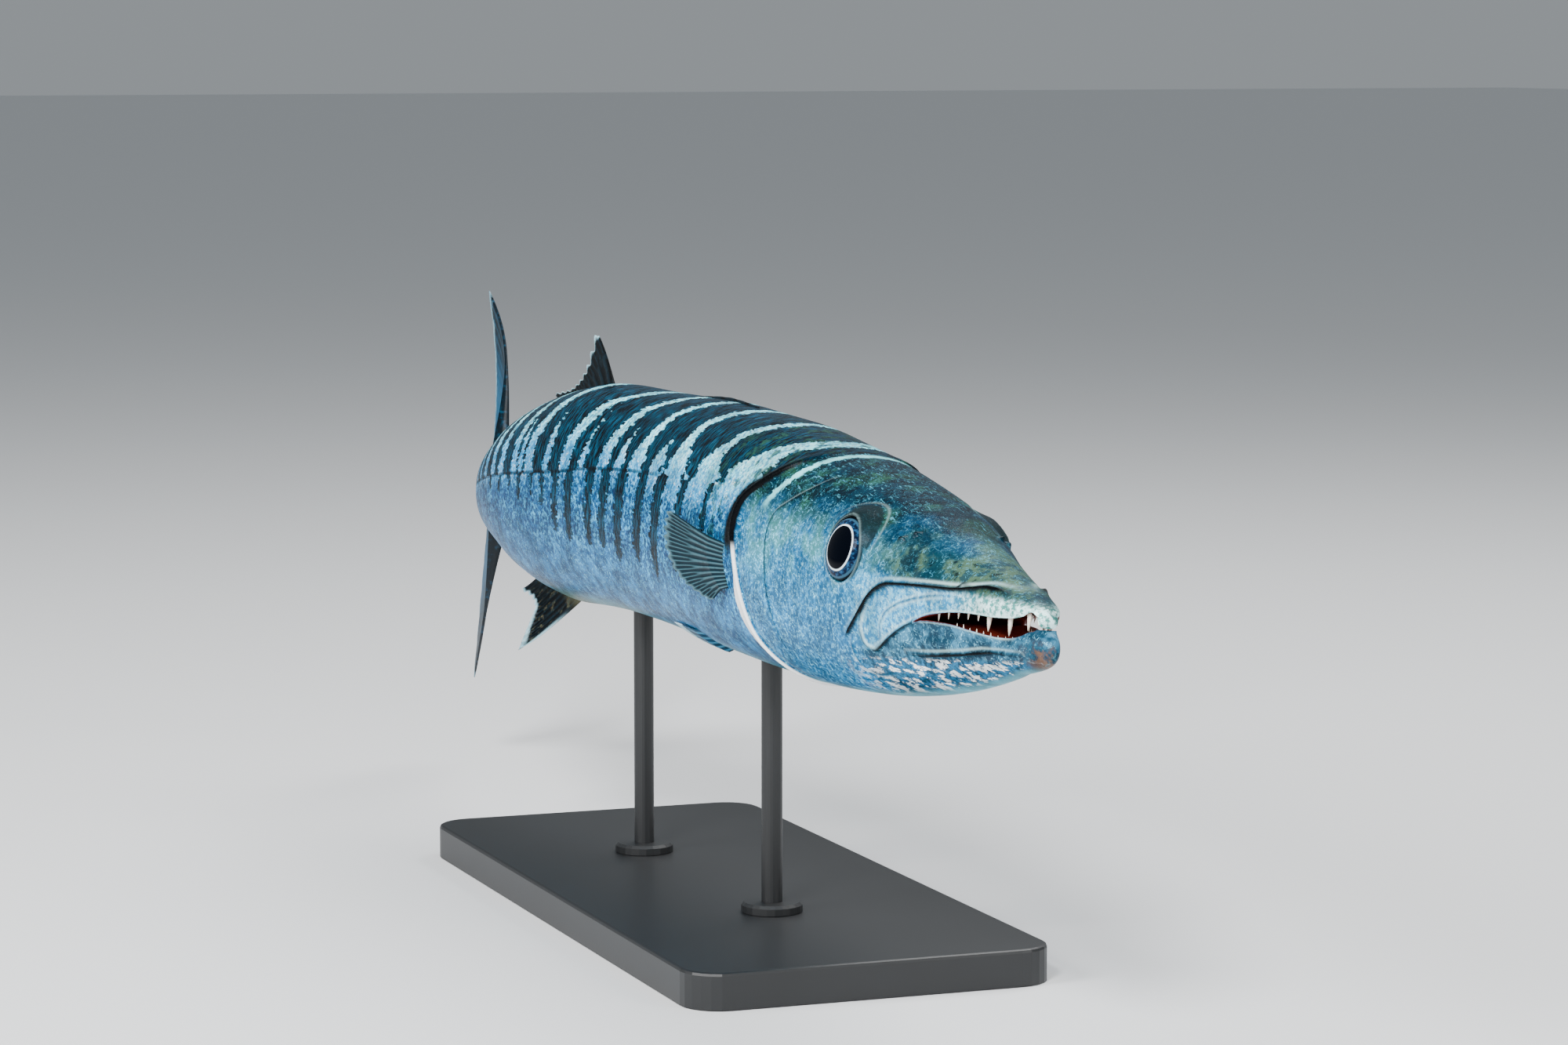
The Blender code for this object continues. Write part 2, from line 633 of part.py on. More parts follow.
def pectoral_fin(name, side, collection):
    rays, along = 12, 7
    v = np.linspace(0, 1, 2 * rays + 1)
    u = np.linspace(0, 1, along)
    base_s, base_z = blend_rows([(0.3265, -0.0030), (0.3290, -0.0150), (0.3325, -0.0265)], v)
    length = blend_rows([(0.088,), (0.090,), (0.087,), (0.076,), (0.058,), (0.037,), (0.018,)], v)
    lift = blend_rows([(0.15,), (0.09,), (0.01,), (-0.09,), (-0.20,), (-0.34,), (-0.60,)], v)
    grid = np.zeros((along, len(v), 3))
    for i, part in enumerate(u):
        s = base_s + length * part * np.cos(lift * (0.6 + 0.4 * part))
        z = base_z + length * part * np.sin(lift * (0.6 + 0.4 * part))
        skin = side_width(base_s, base_z)
        outward = -0.004 + 0.0065 * min(part * 3.0, 1.0) + length * (0.05 * part + 0.06 * part**2)
        grid[i, :, 0] = -s
        grid[i, :, 1] = side * (skin + outward)
        grid[i, :, 2] = z
    thick = ray_thickness(rays, along, 0.0013, 0.00028, 0.00040)
    return fin_solid(name, grid, thick[..., None] * np.array([0, side, 0]), collection)


def pelvic_fin(name, side, collection):
    """A pelvic fin folded back along the belly's edge."""
    rays, along = 5, 7
    v = np.linspace(0, 1, 2 * rays + 1)
    turn_from, turn_to = 0.62, 0.86
    grid = np.zeros((along, len(v), 3))
    ways = np.zeros_like(grid)
    for i, part in enumerate(np.linspace(0, 1, along)):
        spread = 0.35 + 0.65 * math.sin(math.pi * min(part * 0.5 + 0.2, 0.72))
        for j, share in enumerate(v):
            s = 0.418 + (0.066 - 0.022 * share) * part
            width, _, bottom = through(SECTIONS, s)
            angle = turn_from + (turn_to - turn_from) * (0.5 + (share - 0.5) * spread)
            angle *= math.pi / 2
            out = Vector((0, math.cos(angle) / width, math.sin(angle) / bottom)).normalized()
            lift = -0.0022 + 0.0052 * min(part * 2.5, 1.0)
            place = Vector((-s, width * math.cos(angle), bottom * math.sin(angle))) + out * lift
            grid[i, j] = mirrored(place, side)
            ways[i, j] = mirrored(out, side)
    thick = ray_thickness(rays, along, 0.0010, 0.00028, 0.00030)
    return fin_solid(name, grid, thick[..., None] * ways, collection)


def tooth(name, root, tip, width, collection):
    """One flattened, pointed tooth from its sunk root to its tip."""
    way = tip - root
    side_way = Vector((1, 0, 0))
    other = way.cross(side_way).normalized()
    rings = []
    for share, size in ((0, 1.0), (0.55, 1.0), (0.80, 0.72), (0.92, 0.42), (1.0, 0.12)):
        middle = root + way * share
        rings.append([
            middle + (side_way * math.cos(a) + other * 0.62 * math.sin(a)) * width / 2 * size
            for a in (2 * math.pi * k / 5 for k in range(5))
        ])
    return loft(name, rings, collection)


def gape_at(s):
    middle, half = through([row for row in GAPE if row[0] < 0.11], s)
    return float(middle), float(half)


def teeth(collection):
    """The teeth of both jaws: fangs near the front of the upper jaw, and rows of small ones."""
    draw = np.random.default_rng(7)
    upper, lower = [], []
    fangs = ((0.0046, 0.0076, 0.0028), (0.0108, 0.0080, 0.0034), (0.0243, 0.0096, 0.0040), (0.0410, 0.0088, 0.0042))
    small = [(s, 0.0036, 0.0022) for s in np.arange(0.0500, 0.0880, 0.0090)]
    for side in (1, -1):
        for s, length, width in (*fangs, *small):
            middle, half = gape_at(s)
            room = 2 * half + MOUTH_HOLLOW * 0.5
            length = min(length * draw.uniform(0.92, 1.08), room * 0.80)
            y = float(side_width(s, middle + half)) - LIP_WIDTH * 0.80
            edge = middle + half
            root = mirrored(Vector((-s, y, edge + min(0.0040, 0.0010 + s / 8))), side)
            tip = mirrored(Vector((-s - 0.0012, y - 0.0006, edge - length)), side)
            upper.append(tooth("upper_tooth", root, tip, width * draw.uniform(0.92, 1.08), collection))
        for s in np.arange(0.0120, 0.0780, 0.0120):
            middle, half = gape_at(s)
            y = lip_width(s, middle) - LIP_WIDTH * 1.45
            edge = middle - half
            root = mirrored(Vector((-s, y, edge - 0.0075)), side)
            tip = mirrored(Vector((-s - 0.0008, y, edge - 0.0004 + 0.0012 * draw.uniform(-1, 1))), side)
            lower.append(tooth("lower_tooth", root, tip, 0.0020 * draw.uniform(0.9, 1.1), collection))
    return upper, lower


def finish_fish_piece(item, name, finish):
    """Lays a piece along the swimming curve, names it and gives it its material."""
    flat = np.array([v.co for v in item.data.vertices])
    moved = swim(flat)
    item.data.vertices.foreach_set("co", moved.astype(np.float32).ravel())
    item.name = name
    item.data.name = name
    item.data.materials.clear()
    item.data.materials.append(finish)
    tidy_mesh(item)
    item.data.shade_smooth()
    item.data.set_sharp_from_angle(angle=math.radians(40))


def make_base():
    """A flat board with rounded corners and a softened top edge."""
    thick = BASE_SIZE[2]
    bpy.ops.mesh.primitive_cube_add(size=1, location=(0, 0, thick / 2))
    base = bpy.context.object
    base.name = "stand_base"
    base.scale = BASE_SIZE
    bpy.ops.object.transform_apply(location=True, scale=True)
    form = bmesh.new()
    form.from_mesh(base.data)
    upright = [e for e in form.edges if abs(e.verts[0].co.z - e.verts[1].co.z) > thick / 2]
    bmesh.ops.bevel(form, geom=upright, offset=BASE_CORNER, segments=6, profile=0.5, affect="EDGES")
    top = [e for e in form.edges if min(v.co.z for v in e.verts) > thick - 1e-6]
    bmesh.ops.bevel(form, geom=top, offset=BASE_EDGE, segments=2, profile=0.5, affect="EDGES")
    form.to_mesh(base.data)
    form.free()
    return base


def make_rod(name, place, body, cutters):
    """A rod with a turned foot, from the base up to the belly, whose curve its top follows."""
    at = swim([(-place, 0, edge_height(place, False))])[0]
    foot = BASE_SIZE[2] + GAP
    top = at[2] + ROD_SPARE
    profile = [
        (0, top), (ROD_RADIUS, top), (ROD_RADIUS, foot + FOOT_HEIGHT), (FOOT_RADIUS - FOOT_EDGE, foot + FOOT_HEIGHT),
        (FOOT_RADIUS, foot + FOOT_HEIGHT - FOOT_EDGE), (FOOT_RADIUS, foot), (0, foot),
    ]
    mesh = bpy.data.meshes.new(name)
    mesh.from_pydata([(r, 0, z) for r, z in profile], [(k, k + 1) for k in range(len(profile) - 1)], [])
    turned = bpy.data.objects.new(f"{name}_turned", mesh)
    cutters.objects.link(turned)
    turned.location = (at[0], at[1], 0)
    screw = turned.modifiers.new("turn", "SCREW")
    screw.axis = "Z"
    screw.steps = screw.render_steps = 24
    screw.use_merge_vertices = True
    screw.merge_threshold = 0.00001
    graph = bpy.context.evaluated_depsgraph_get()
    whole = bpy.data.meshes.new_from_object(turned.evaluated_get(graph))
    whole.transform(Matrix.Translation((at[0], at[1], 0)))
    rod = bpy.data.objects.new(name, whole)
    cutters.objects.link(rod)
    bpy.data.objects.remove(turned)
    tidy_mesh(rod)
    combine(rod, [body], "DIFFERENCE")
    keep_largest(rod)
    return rod


def make_stand(body, parts, cutters, finish):
    """The display stand: a flat base and two rods up to the belly."""
    made = [make_base()]
    made += [make_rod(f"stand_rod_{word}", place, body, cutters) for place, word in zip(ROD_PLACES, ("front", "rear"))]
    for item in made:
        for collection in list(item.users_collection):
            collection.objects.unlink(item)
        parts.objects.link(item)
        item.hide_render = False
        item.data.materials.clear()
        item.data.materials.append(finish)
        tidy_mesh(item)
        item.data.shade_smooth()
        item.data.set_sharp_from_angle(angle=math.radians(35))


def main():
    clear_scene()
    parts = new_collection("barracuda")
    cutters = new_collection("cutters", hidden=True)
    skin = material("scaled_skin", COLOURS["skin"], 0.35, 0.2)
    fin = material("fin_membrane", COLOURS["fin"], 0.45)
    eye = material("eye", COLOURS["eye"], 0.08)
    painted = material("black_paint", COLOURS["stand"], 0.45)

    stations = body_stations()
    body = loft("whole_body", [ring(float(s)) for s in stations], cutters)
    chin = loft("chin", [ring(row[0], CHIN_SECTIONS) for row in CHIN_SECTIONS], cutters)
    plates = raised_plate("jaw_plate", JAW_PLATE, JAW_PLATE_LIP, cutters)
    plates += raised_plate("lower_lip", LOWER_LIP, CHIN_GROOVE, cutters)
    grown = inflate(body, "grown_body", GAP, cutters)

    cuts = [gape_cutter(cutters), curtain_cutter("gill_cut", GILL_EDGE, GAP / 2, cutters)]
    cuts.append(curtain_cutter("tail_cut", ((TAIL_FROM, -0.12), (TAIL_FROM, 0.0), (TAIL_FROM, 0.12)), GAP / 2, cutters))
    cuts += groove_cutters("jaw_fold", JAW_FOLD, 0.0016, 0.0002, cutters)
    cuts += groove_cutters("chin_groove", CHIN_GROOVE, 0.0015, 0.0001, cutters)
    cuts += groove_cutters("cheek_groove", CHEEK_GROOVE, 0.0012, 0.0001, cutters)
    cuts += groove_cutters("gill_opening", GILL_EDGE[1:-1], 0.0030, -0.0006, cutters, count=13)
    eyes = {}
    for side, word in ((1, "left"), (-1, "right")):
        middle, axis = eye_place(side)
        eyes[f"eye_{word}"] = ellipsoid(f"eye_{word}", middle, axis, EYE_RADIUS, EYE_DEPTH, parts)
        cuts.append(ellipsoid(
            f"socket_{word}", middle, axis, EYE_RADIUS + GAP, EYE_DEPTH + GAP, cutters))
        ahead, up = ORBIT_SHIFT
        orbit_middle = mirrored(on_side(EYE_AT[0] - ahead, EYE_AT[1] + up), side) + axis * ORBIT_LIFT
        cuts.append(ellipsoid(f"orbit_{word}", orbit_middle, axis, ORBIT_RADIUS, ORBIT_DEPTH, cutters, 8, 18))
        for k, (s, z, radius) in enumerate(NOSTRILS):
            place = mirrored(on_side(s, z), side)
            cuts.append(ellipsoid(f"nostril_{word}_{k}", place, axis, radius, 0.003, cutters, 4, 7))

    flesh = bpy.data.objects.new("flesh", body.data.copy())
    cutters.objects.link(flesh)
    flesh.hide_render = True
    combine(flesh, [chin, *plates], "UNION")
    keep_largest(flesh)
    combine(flesh, cuts, "DIFFERENCE")
    pieces = islands(flesh)[:4]
    pieces.sort(key=lambda part: -part[0][:, 0].mean())
    front, behind = pieces[:2], pieces[2:]
    front.sort(key=lambda part: part[0][:, 2].mean())
    named = dict(zip(("lower_jaw", "head", "torso", "tail"), (*front, *behind)))
    solids = {name: make_object(name, points, faces, parts) for name, (points, faces) in named.items()}

    upper, lower = teeth(cutters)
    for name, grown_teeth in (("head", upper), ("lower_jaw", lower)):
        combine(solids[name], grown_teeth, "UNION")
        keep_largest(solids[name])

    for name, item in fins(parts).items():
        combine(item, [grown], "DIFFERENCE")
        keep_largest(item)
        finish_fish_piece(item, name, fin)
    for name, item in eyes.items():
        finish_fish_piece(item, name, eye)
    for name, item in solids.items():
        finish_fish_piece(item, name, skin)

    finish_fish_piece(grown, "grown_body", skin)
    make_stand(grown, parts, cutters, painted)


main()
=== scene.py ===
# A life-size great barracuda on a display stand: the finish of every surface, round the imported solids.
# The fish is shaped straight: s is the distance behind the upper jaw's tip, y to its left and z up.
# layAlongCurve then bends each piece into the swimming pose. Metres.
import math

import bmesh
import bpy
import numpy as np
from mathutils import Matrix, Vector


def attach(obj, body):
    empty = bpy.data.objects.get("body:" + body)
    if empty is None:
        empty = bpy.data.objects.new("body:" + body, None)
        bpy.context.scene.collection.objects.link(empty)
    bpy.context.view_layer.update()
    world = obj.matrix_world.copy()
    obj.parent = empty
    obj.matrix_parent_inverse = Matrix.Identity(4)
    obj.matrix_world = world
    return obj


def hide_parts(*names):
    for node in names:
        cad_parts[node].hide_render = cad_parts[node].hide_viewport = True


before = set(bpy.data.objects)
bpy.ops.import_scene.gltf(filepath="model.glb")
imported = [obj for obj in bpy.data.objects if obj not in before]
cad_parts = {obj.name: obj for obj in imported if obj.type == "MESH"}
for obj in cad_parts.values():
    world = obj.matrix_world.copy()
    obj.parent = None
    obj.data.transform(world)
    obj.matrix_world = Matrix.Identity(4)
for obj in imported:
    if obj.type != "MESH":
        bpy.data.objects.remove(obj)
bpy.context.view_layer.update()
print("stage: packed solids loaded")

mm = 0.001
weldDistance = 2e-7  # corners closer than this become one


# Colour, node and mesh helpers

def linear(hexColour):
    values = [int(hexColour[k:k + 2], 16) / 255 for k in (1, 3, 5)]
    return (*[v / 12.92 if v <= 0.04045 else ((v + 0.055) / 1.055) ** 2.4 for v in values], 1.0)


def addNode(tree, kind, links=None, **settings):
    made = tree.nodes.new("ShaderNode" + kind)
    for name, value in settings.items():
        setattr(made, name, value)
    for key, value in (links or {}).items():
        if isinstance(value, bpy.types.NodeSocket):
            tree.links.new(value, made.inputs[key])
        else:
            made.inputs[key].default_value = value
    return made


def newMaterial(name, sockets):
    made = bpy.data.materials.new(name)
    made.use_nodes = True
    shader = made.node_tree.nodes["Principled BSDF"]
    for key, value in sockets.items():
        shader.inputs[key].default_value = value
    return made, made.node_tree, shader


def readCurve(points, at):
    # a smooth curve through rows of (place, value ...) that never overshoots them
    rows = np.array(points, float)
    x = rows[:, 0]
    at = np.clip(np.asarray(at, float), x[0], x[-1])
    span = np.diff(x)
    place = np.clip(np.searchsorted(x, at, side="right") - 1, 0, len(span) - 1)
    part = (at - x[place]) / span[place]
    columns = []
    for y in rows[:, 1:].T:
        slope = np.diff(y) / span
        before, after = slope[:-1], slope[1:]
        sameWay = before * after > 0
        inner = np.where(sameWay, 2 * before * after / np.where(sameWay, before + after, 1), 0)
        tangent = np.concatenate([slope[:1], inner, slope[-1:]])
        rise = part * part * (3 - 2 * part)
        start = part * (1 - part) ** 2
        end = -part * part * (1 - part)
        flat = y[place] * (1 - rise) + y[place + 1] * rise
        columns.append(flat + span[place] * (start * tangent[place] + end * tangent[place + 1]))
    return columns[0] if len(columns) == 1 else columns


def readRows(rows, share):
    places = np.linspace(0, 1, len(rows))
    return readCurve([(p, *np.atleast_1d(row)) for p, row in zip(places, rows)], share)


def smooth(low, high, value):
    share = np.clip((np.asarray(value, float) - low) / (high - low), 0, 1)
    return share * share * (3 - 2 * share)


def bell(value, width):
    return np.exp(-((np.asarray(value, float) / width) ** 2))


def meshFrom(name, points, faces, uvs=None):
    # faces are an array of quads or triangles; corners that meet become one, and flat faces are dropped
    points = np.asarray(points, float).reshape(-1, 3)
    faces = np.asarray(faces, np.int64)
    cells = np.round(points / weldDistance).astype(np.int64)
    _, first, index = np.unique(cells, axis=0, return_index=True, return_inverse=True)
    corners = index.reshape(-1)[faces]
    count = corners.shape[1]
    same = corners == np.roll(corners, -1, axis=1)
    good = ~same.any(axis=1)
    loops, kept = [corners[good].reshape(-1)], [faces[good].reshape(-1)]
    sizes = [np.full(good.sum(), count)]
    if count == 4:
        # a quad with two corners in one place becomes a triangle
        triangular = same.sum(axis=1) == 1
        apart = ~same[triangular]
        loops.append(corners[triangular][apart])
        kept.append(faces[triangular][apart])
        sizes.append(np.full(triangular.sum(), 3))
    loops, kept, sizes = np.concatenate(loops), np.concatenate(kept), np.concatenate(sizes)
    starts = np.concatenate([[0], np.cumsum(sizes)[:-1]])
    mesh = bpy.data.meshes.new(name)
    mesh.vertices.add(len(first))
    mesh.vertices.foreach_set("co", points[first].astype(np.float32).ravel())
    mesh.loops.add(len(loops))
    mesh.loops.foreach_set("vertex_index", loops.astype(np.int32))
    mesh.polygons.add(len(sizes))
    mesh.polygons.foreach_set("loop_start", starts.astype(np.int32))
    mesh.update(calc_edges=True)
    mesh.validate()
    if uvs is not None:
        layer = mesh.uv_layers.new(name="OFBake")
        layer.data.foreach_set("uv", np.asarray(uvs, np.float32).reshape(-1, 2)[kept].ravel())
    mesh.shade_smooth()
    return mesh, first


def gridFaces(rows, columns, start=0, flip=False):
    i, j = np.meshgrid(np.arange(rows - 1), np.arange(columns - 1), indexing="ij")
    a = start + i * columns + j
    quads = np.stack([a, a + columns, a + columns + 1, a + 1], -1).reshape(-1, 4)
    return quads[:, ::-1] if flip else quads


def setPointValues(mesh, name, values):
    values = np.asarray(values, np.float32)
    kind = "FLOAT_VECTOR" if values.ndim == 2 else "FLOAT"
    layer = mesh.attributes.new(name, kind, "POINT")
    layer.data.foreach_set("vector" if values.ndim == 2 else "value", values.ravel())


def placePiece(name, mesh, material, slotName, *nodes):
    piece = bpy.data.objects.new(name, mesh)
    bpy.context.scene.collection.objects.link(piece)
    mesh.materials.clear()
    mesh.materials.append(material)
    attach(piece, "root")
    if nodes:
        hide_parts(*nodes)


# The fish's form, as the solids have it
fishForm = {
    # distance back, half width, height above and depth below the spine line
    "sections": (
        (0.0, 0.0032, 0.0002, -0.0056), (0.0012, 0.005, 0.0016, -0.009), (0.0035, 0.007, 0.003, -0.014),
        (0.008, 0.0092, 0.0046, -0.022), (0.015, 0.0122, 0.0068, -0.0286),
        (0.025, 0.0156, 0.0091, -0.035), (0.05, 0.0228, 0.0145, -0.0428),
        (0.072, 0.0277, 0.0194, -0.0486), (0.1, 0.034, 0.0272, -0.055), (0.14, 0.0428, 0.0384, -0.0625),
        (0.18, 0.0491, 0.0466, -0.0684), (0.22, 0.053, 0.053, -0.0722), (0.26, 0.056, 0.0586, -0.0748),
        (0.32, 0.059, 0.0658, -0.0764), (0.4, 0.0615, 0.0706, -0.0778), (0.5, 0.0605, 0.07, -0.0798),
        (0.56, 0.059, 0.0664, -0.0812), (0.62, 0.057, 0.064, -0.0826), (0.67, 0.055, 0.0646, -0.0836),
        (0.7, 0.0535, 0.0622, -0.0838), (0.75, 0.0502, 0.0568, -0.0778), (0.8, 0.045, 0.0502, -0.0655),
        (0.85, 0.037, 0.042, -0.0495), (0.9, 0.0288, 0.0355, -0.0385), (0.95, 0.0205, 0.0325, -0.033),
        (1.0, 0.0112, 0.0333, -0.0335), (1.01, 0.0074, 0.0325, -0.0327), (1.02, 0.0034, 0.029, -0.0292),
        (1.028, 0.0006, 0.024, -0.0242),
    ),
    "chinSections": (
        (-0.0098, 0.0012, -0.0166, -0.0198), (-0.0093, 0.0024, -0.0148, -0.0216),
        (-0.008, 0.0038, -0.0124, -0.024), (-0.005, 0.0054, -0.01, -0.0264),
        (0.0, 0.0074, -0.0078, -0.0286), (0.006, 0.0096, -0.0052, -0.0304),
        (0.014, 0.0126, -0.0036, -0.0324), (0.024, 0.015, -0.0044, -0.0346),
        (0.036, 0.0168, -0.007, -0.0366), (0.048, 0.0172, -0.01, -0.0378),
    ),
    # how square the section is above and below the spine line: 2 is an ellipse
    "squareness": (
        (-0.013, 2.2, 2.2), (0.0, 2.0, 2.1), (0.02, 1.75, 2.0), (0.06, 1.7, 1.95), (0.1, 1.75, 2.0),
        (0.14, 2.05, 2.1), (0.18, 2.3, 2.3), (0.35, 2.2, 2.2), (1.0, 2.1, 2.1),
    ),
    # distance back, middle of the gape, half its height
    "gape": (
        (-0.01, -0.0082, 0.0006), (0.0, -0.0082, 0.0007), (0.001, -0.008, 0.0009),
        (0.003, -0.005, 0.0034), (0.0055, -0.0046, 0.005), (0.012, -0.008, 0.005), (0.02, -0.01, 0.005),
        (0.038, -0.0113, 0.0047), (0.053, -0.0112, 0.0042), (0.068, -0.0115, 0.0031),
        (0.085, -0.0132, 0.0018), (0.097, -0.0152, 0.0007), (0.106, -0.0182, 0.0), (0.117, -0.023, 0.0),
        (0.13, -0.0297, 0.0), (0.142, -0.0362, 0.0), (0.152, -0.0396, 0.0), (0.168, -0.0412, 0.0),
    ),
    "gapeEnd": 0.1060,
    "mouthHollow": 0.0042,
    "turns": (
        (0.3, 0.0), (0.45, 0.0), (0.6, 0.1), (0.75, 0.05), (0.9, -0.125), (1.05, -0.229), (1.25, -0.229),
    ),
    "climbs": ((0.3, 0.0), (0.55, 0.04), (0.8, -0.145), (1.05, -0.058), (1.25, -0.058)),
    "twist": 0.045,
    "twistFrom": 0.30,
    "bank": 0.0926,
    "noseX": 0.510,
    "standHeight": 0.255,
}


def spineLine():
    s = np.arange(0, 1.26, 0.001)
    turn = readCurve(fishForm["turns"], s)
    climb = readCurve(fishForm["climbs"], s)
    heading = np.stack([-np.cos(turn) * np.cos(climb), -np.sin(turn) * np.cos(climb), np.sin(climb)], 1)
    steps = (heading[1:] + heading[:-1]) / 2 * 0.001
    return s, np.concatenate([np.zeros((1, 3)), np.cumsum(steps, 0)]), turn, climb


def layAlongCurve(points):
    # from the straight fish, where x is -s, to its place on the stand
    points = np.asarray(points, float).reshape(-1, 3)
    s = -points[:, 0]
    line, places, turns, climbs = spineLine()
    behind = np.clip(s, 0, None)
    place = np.stack([np.interp(behind, line, places[:, k]) for k in range(3)], 1)
    place[:, 0] -= np.minimum(s, 0)
    turn = np.interp(behind, line, turns)
    climb = np.interp(behind, line, climbs)
    roll = fishForm["twist"] * np.clip(s - fishForm["twistFrom"], 0, None)
    left = points[:, 1] * np.cos(roll) - points[:, 2] * np.sin(roll)
    up = points[:, 1] * np.sin(roll) + points[:, 2] * np.cos(roll)
    leftWay = np.stack([-np.sin(turn), np.cos(turn), 0 * turn], 1)
    upWay = np.stack([np.sin(climb) * np.cos(turn), np.sin(climb) * np.sin(turn), np.cos(climb)], 1)
    x, y, z = (place + leftWay * left[:, None] + upWay * up[:, None]).T
    bank = fishForm["bank"]
    across = y * math.cos(bank) + z * math.sin(bank)
    height = z * math.cos(bank) - y * math.sin(bank)
    return np.stack([x + fishForm["noseX"], across, height + fishForm["standHeight"]], 1)


def bend(mesh):
    flat = np.zeros(len(mesh.vertices) * 3, np.float32)
    mesh.vertices.foreach_get("co", flat)
    mesh.vertices.foreach_set("co", layAlongCurve(flat.reshape(-1, 3)).astype(np.float32).ravel())
    mesh.update()


def sideWidth(s, z):
    width, top, bottom = readCurve(fishForm["sections"], s)
    above, below = readCurve(fishForm["squareness"], s)
    power = np.where(np.asarray(z) > 0, above, below)
    reach = np.where(np.asarray(z) > 0, top, -bottom)
    share = np.clip(np.abs(z) / reach, 0, 0.98)
    return width * (1 - share**power) ** (1 / power)


def edgeHeight(s, upper):
    return float(readCurve(fishForm["sections"], s)[1 if upper else 2])


def halfWidthAt(z, width, top, bottom, middle, powers):
    # half the width of one section at height z, and none above or below it
    share = np.where(z > middle, (z - middle) / (top - middle), (middle - z) / (middle - bottom))
    power = np.where(z > middle, powers[0], powers[1])
    return width * np.clip(1 - np.clip(share, 0, 1) ** power, 0, 1) ** (1 / power)


def outlineAt(s, withChin):
    # a section's left half, from its top to its bottom
    powers = [float(v) for v in readCurve(fishForm["squareness"], s)]
    forms = []
    if s >= 0:
        width, top, bottom = (float(v) for v in readCurve(fishForm["sections"], s))
        forms.append((width, top, bottom, 0.0 if top > 0.003 else (top + bottom) / 2))
    if withChin and s <= fishForm["chinSections"][-1][0]:
        width, top, bottom = (float(v) for v in readCurve(fishForm["chinSections"], s))
        forms.append((width, top, bottom, (top + bottom) / 2))
    top, bottom = max(form[1] for form in forms), min(form[2] for form in forms)
    height = (top + bottom) / 2 + (top - bottom) / 2 * np.cos(np.linspace(0, math.pi, 400))
    across = np.max([halfWidthAt(height, *form, powers) for form in forms], axis=0)
    if len(forms) > 1:
        soft = np.convolve(np.pad(across, 9, mode="reflect", reflect_type="odd"), np.ones(19) / 19, "valid")
        across = np.where((across > 0.002) & (height < -0.006), soft, across)
    across[[0, -1]] = 0
    return across, height


def resample(across, height, count):
    path = np.concatenate([[0], np.cumsum(np.hypot(np.diff(across), np.diff(height)))])
    at = np.linspace(0, path[-1], count)
    return np.interp(at, path, across), np.interp(at, path, height)


def cutOutline(across, height, level, upper):
    # the part of a half outline above or below a level, with its end just on it
    keep = height > level if upper else height < level
    y = np.interp(-level, -height, across)
    if upper:
        return np.append(across[keep], y), np.append(height[keep], level)
    return np.insert(across[keep], 0, y), np.insert(height[keep], 0, level)


skinGrid = {
    "upperRows": 116,
    "lowerRows": 78,
    "liningRows": 20,
    "noseStep": 0.8 * mm,
    "bodyStep": 1.6 * mm,
    "fineUntil": 0.340,
    "tailEnd": 1.0280,
    # behind the closed lips the two sheets meet at this share of the depth
    "closedFrom": 0.168,
    "partShare": ((0.168, 0.61), (0.35, 0.5), (1.1, 0.5)),
    "tongue": 0.0034,
    # the texture map: the head, with its finer detail, takes nearly half the length
    "mapHead": 0.340,
    "mapHeadShare": 0.46,
}


def gapeLevels(s):
    middle, half = readCurve(fishForm["gape"], s)
    if s > skinGrid["closedFrom"]:
        middle = float(readCurve(skinGrid["partShare"], s)) * edgeHeight(s, False)
    return float(middle + half), float(middle - half)


def upperRow(s):
    # from the middle of the mouth's roof, over the lip, to the middle of the back
    level, _ = gapeLevels(s)
    across, height = cutOutline(*outlineAt(s, False), level, True)
    y, z = resample(across[::-1], height[::-1], skinGrid["upperRows"])
    share = np.linspace(0, 1, skinGrid["liningRows"], endpoint=False) ** 0.7
    openness = float(readCurve(fishForm["gape"], s)[1]) / 0.004
    hollow = fishForm["mouthHollow"] * min(openness, 1) * float(smooth(0.003, 0.020, s))
    roof = level + hollow * smooth(0, 0.30, 1 - share) * (1.0 + 0.35 * (1 - share**2))
    return np.concatenate([y[0] * share, y]), np.concatenate([roof, z])


def lowerRow(s):
    # from the middle of the mouth's floor, over the lip, to the middle of the belly
    _, level = gapeLevels(s)
    across, height = outlineAt(s, True)
    if s < 0.02:
        centre = (height[0] + height[-1]) / 2
        level = min(level, centre + 0.72 * (height[0] - centre))
    y, z = resample(*cutOutline(across, height, level, False), skinGrid["lowerRows"])
    share = np.linspace(0, 1, skinGrid["liningRows"], endpoint=False) ** 0.7
    openness = float(readCurve(fishForm["gape"], max(s, 0.0))[1]) / 0.004
    deep = min(openness, 1) * float(smooth(0.003, 0.024, s))
    crown = max(0.0, min(height[0], gapeLevels(s)[1]) - level)
    floor = level + crown * (1 - share**2) - fishForm["mouthHollow"] * deep * smooth(0, 0.25, 1 - share)
    tongue = skinGrid["tongue"] * min(openness, 1) * float(smooth(0.016, 0.040, s))
    floor = floor + tongue * smooth(0, 0.30, 0.52 - share)
    return np.concatenate([y[0] * share, y]), np.concatenate([floor, z])


def softenLips(rows):
    # rounds the edge between the outer skin and the lining, over about 1.5 mm
    lip = skinGrid["liningRows"]
    for _ in range(3):
        part = rows[:, lip - 3:lip + 5]
        part[:, 1:-1] = part[:, 1:-1] * 0.5 + (part[:, :-2] + part[:, 2:]) * 0.25


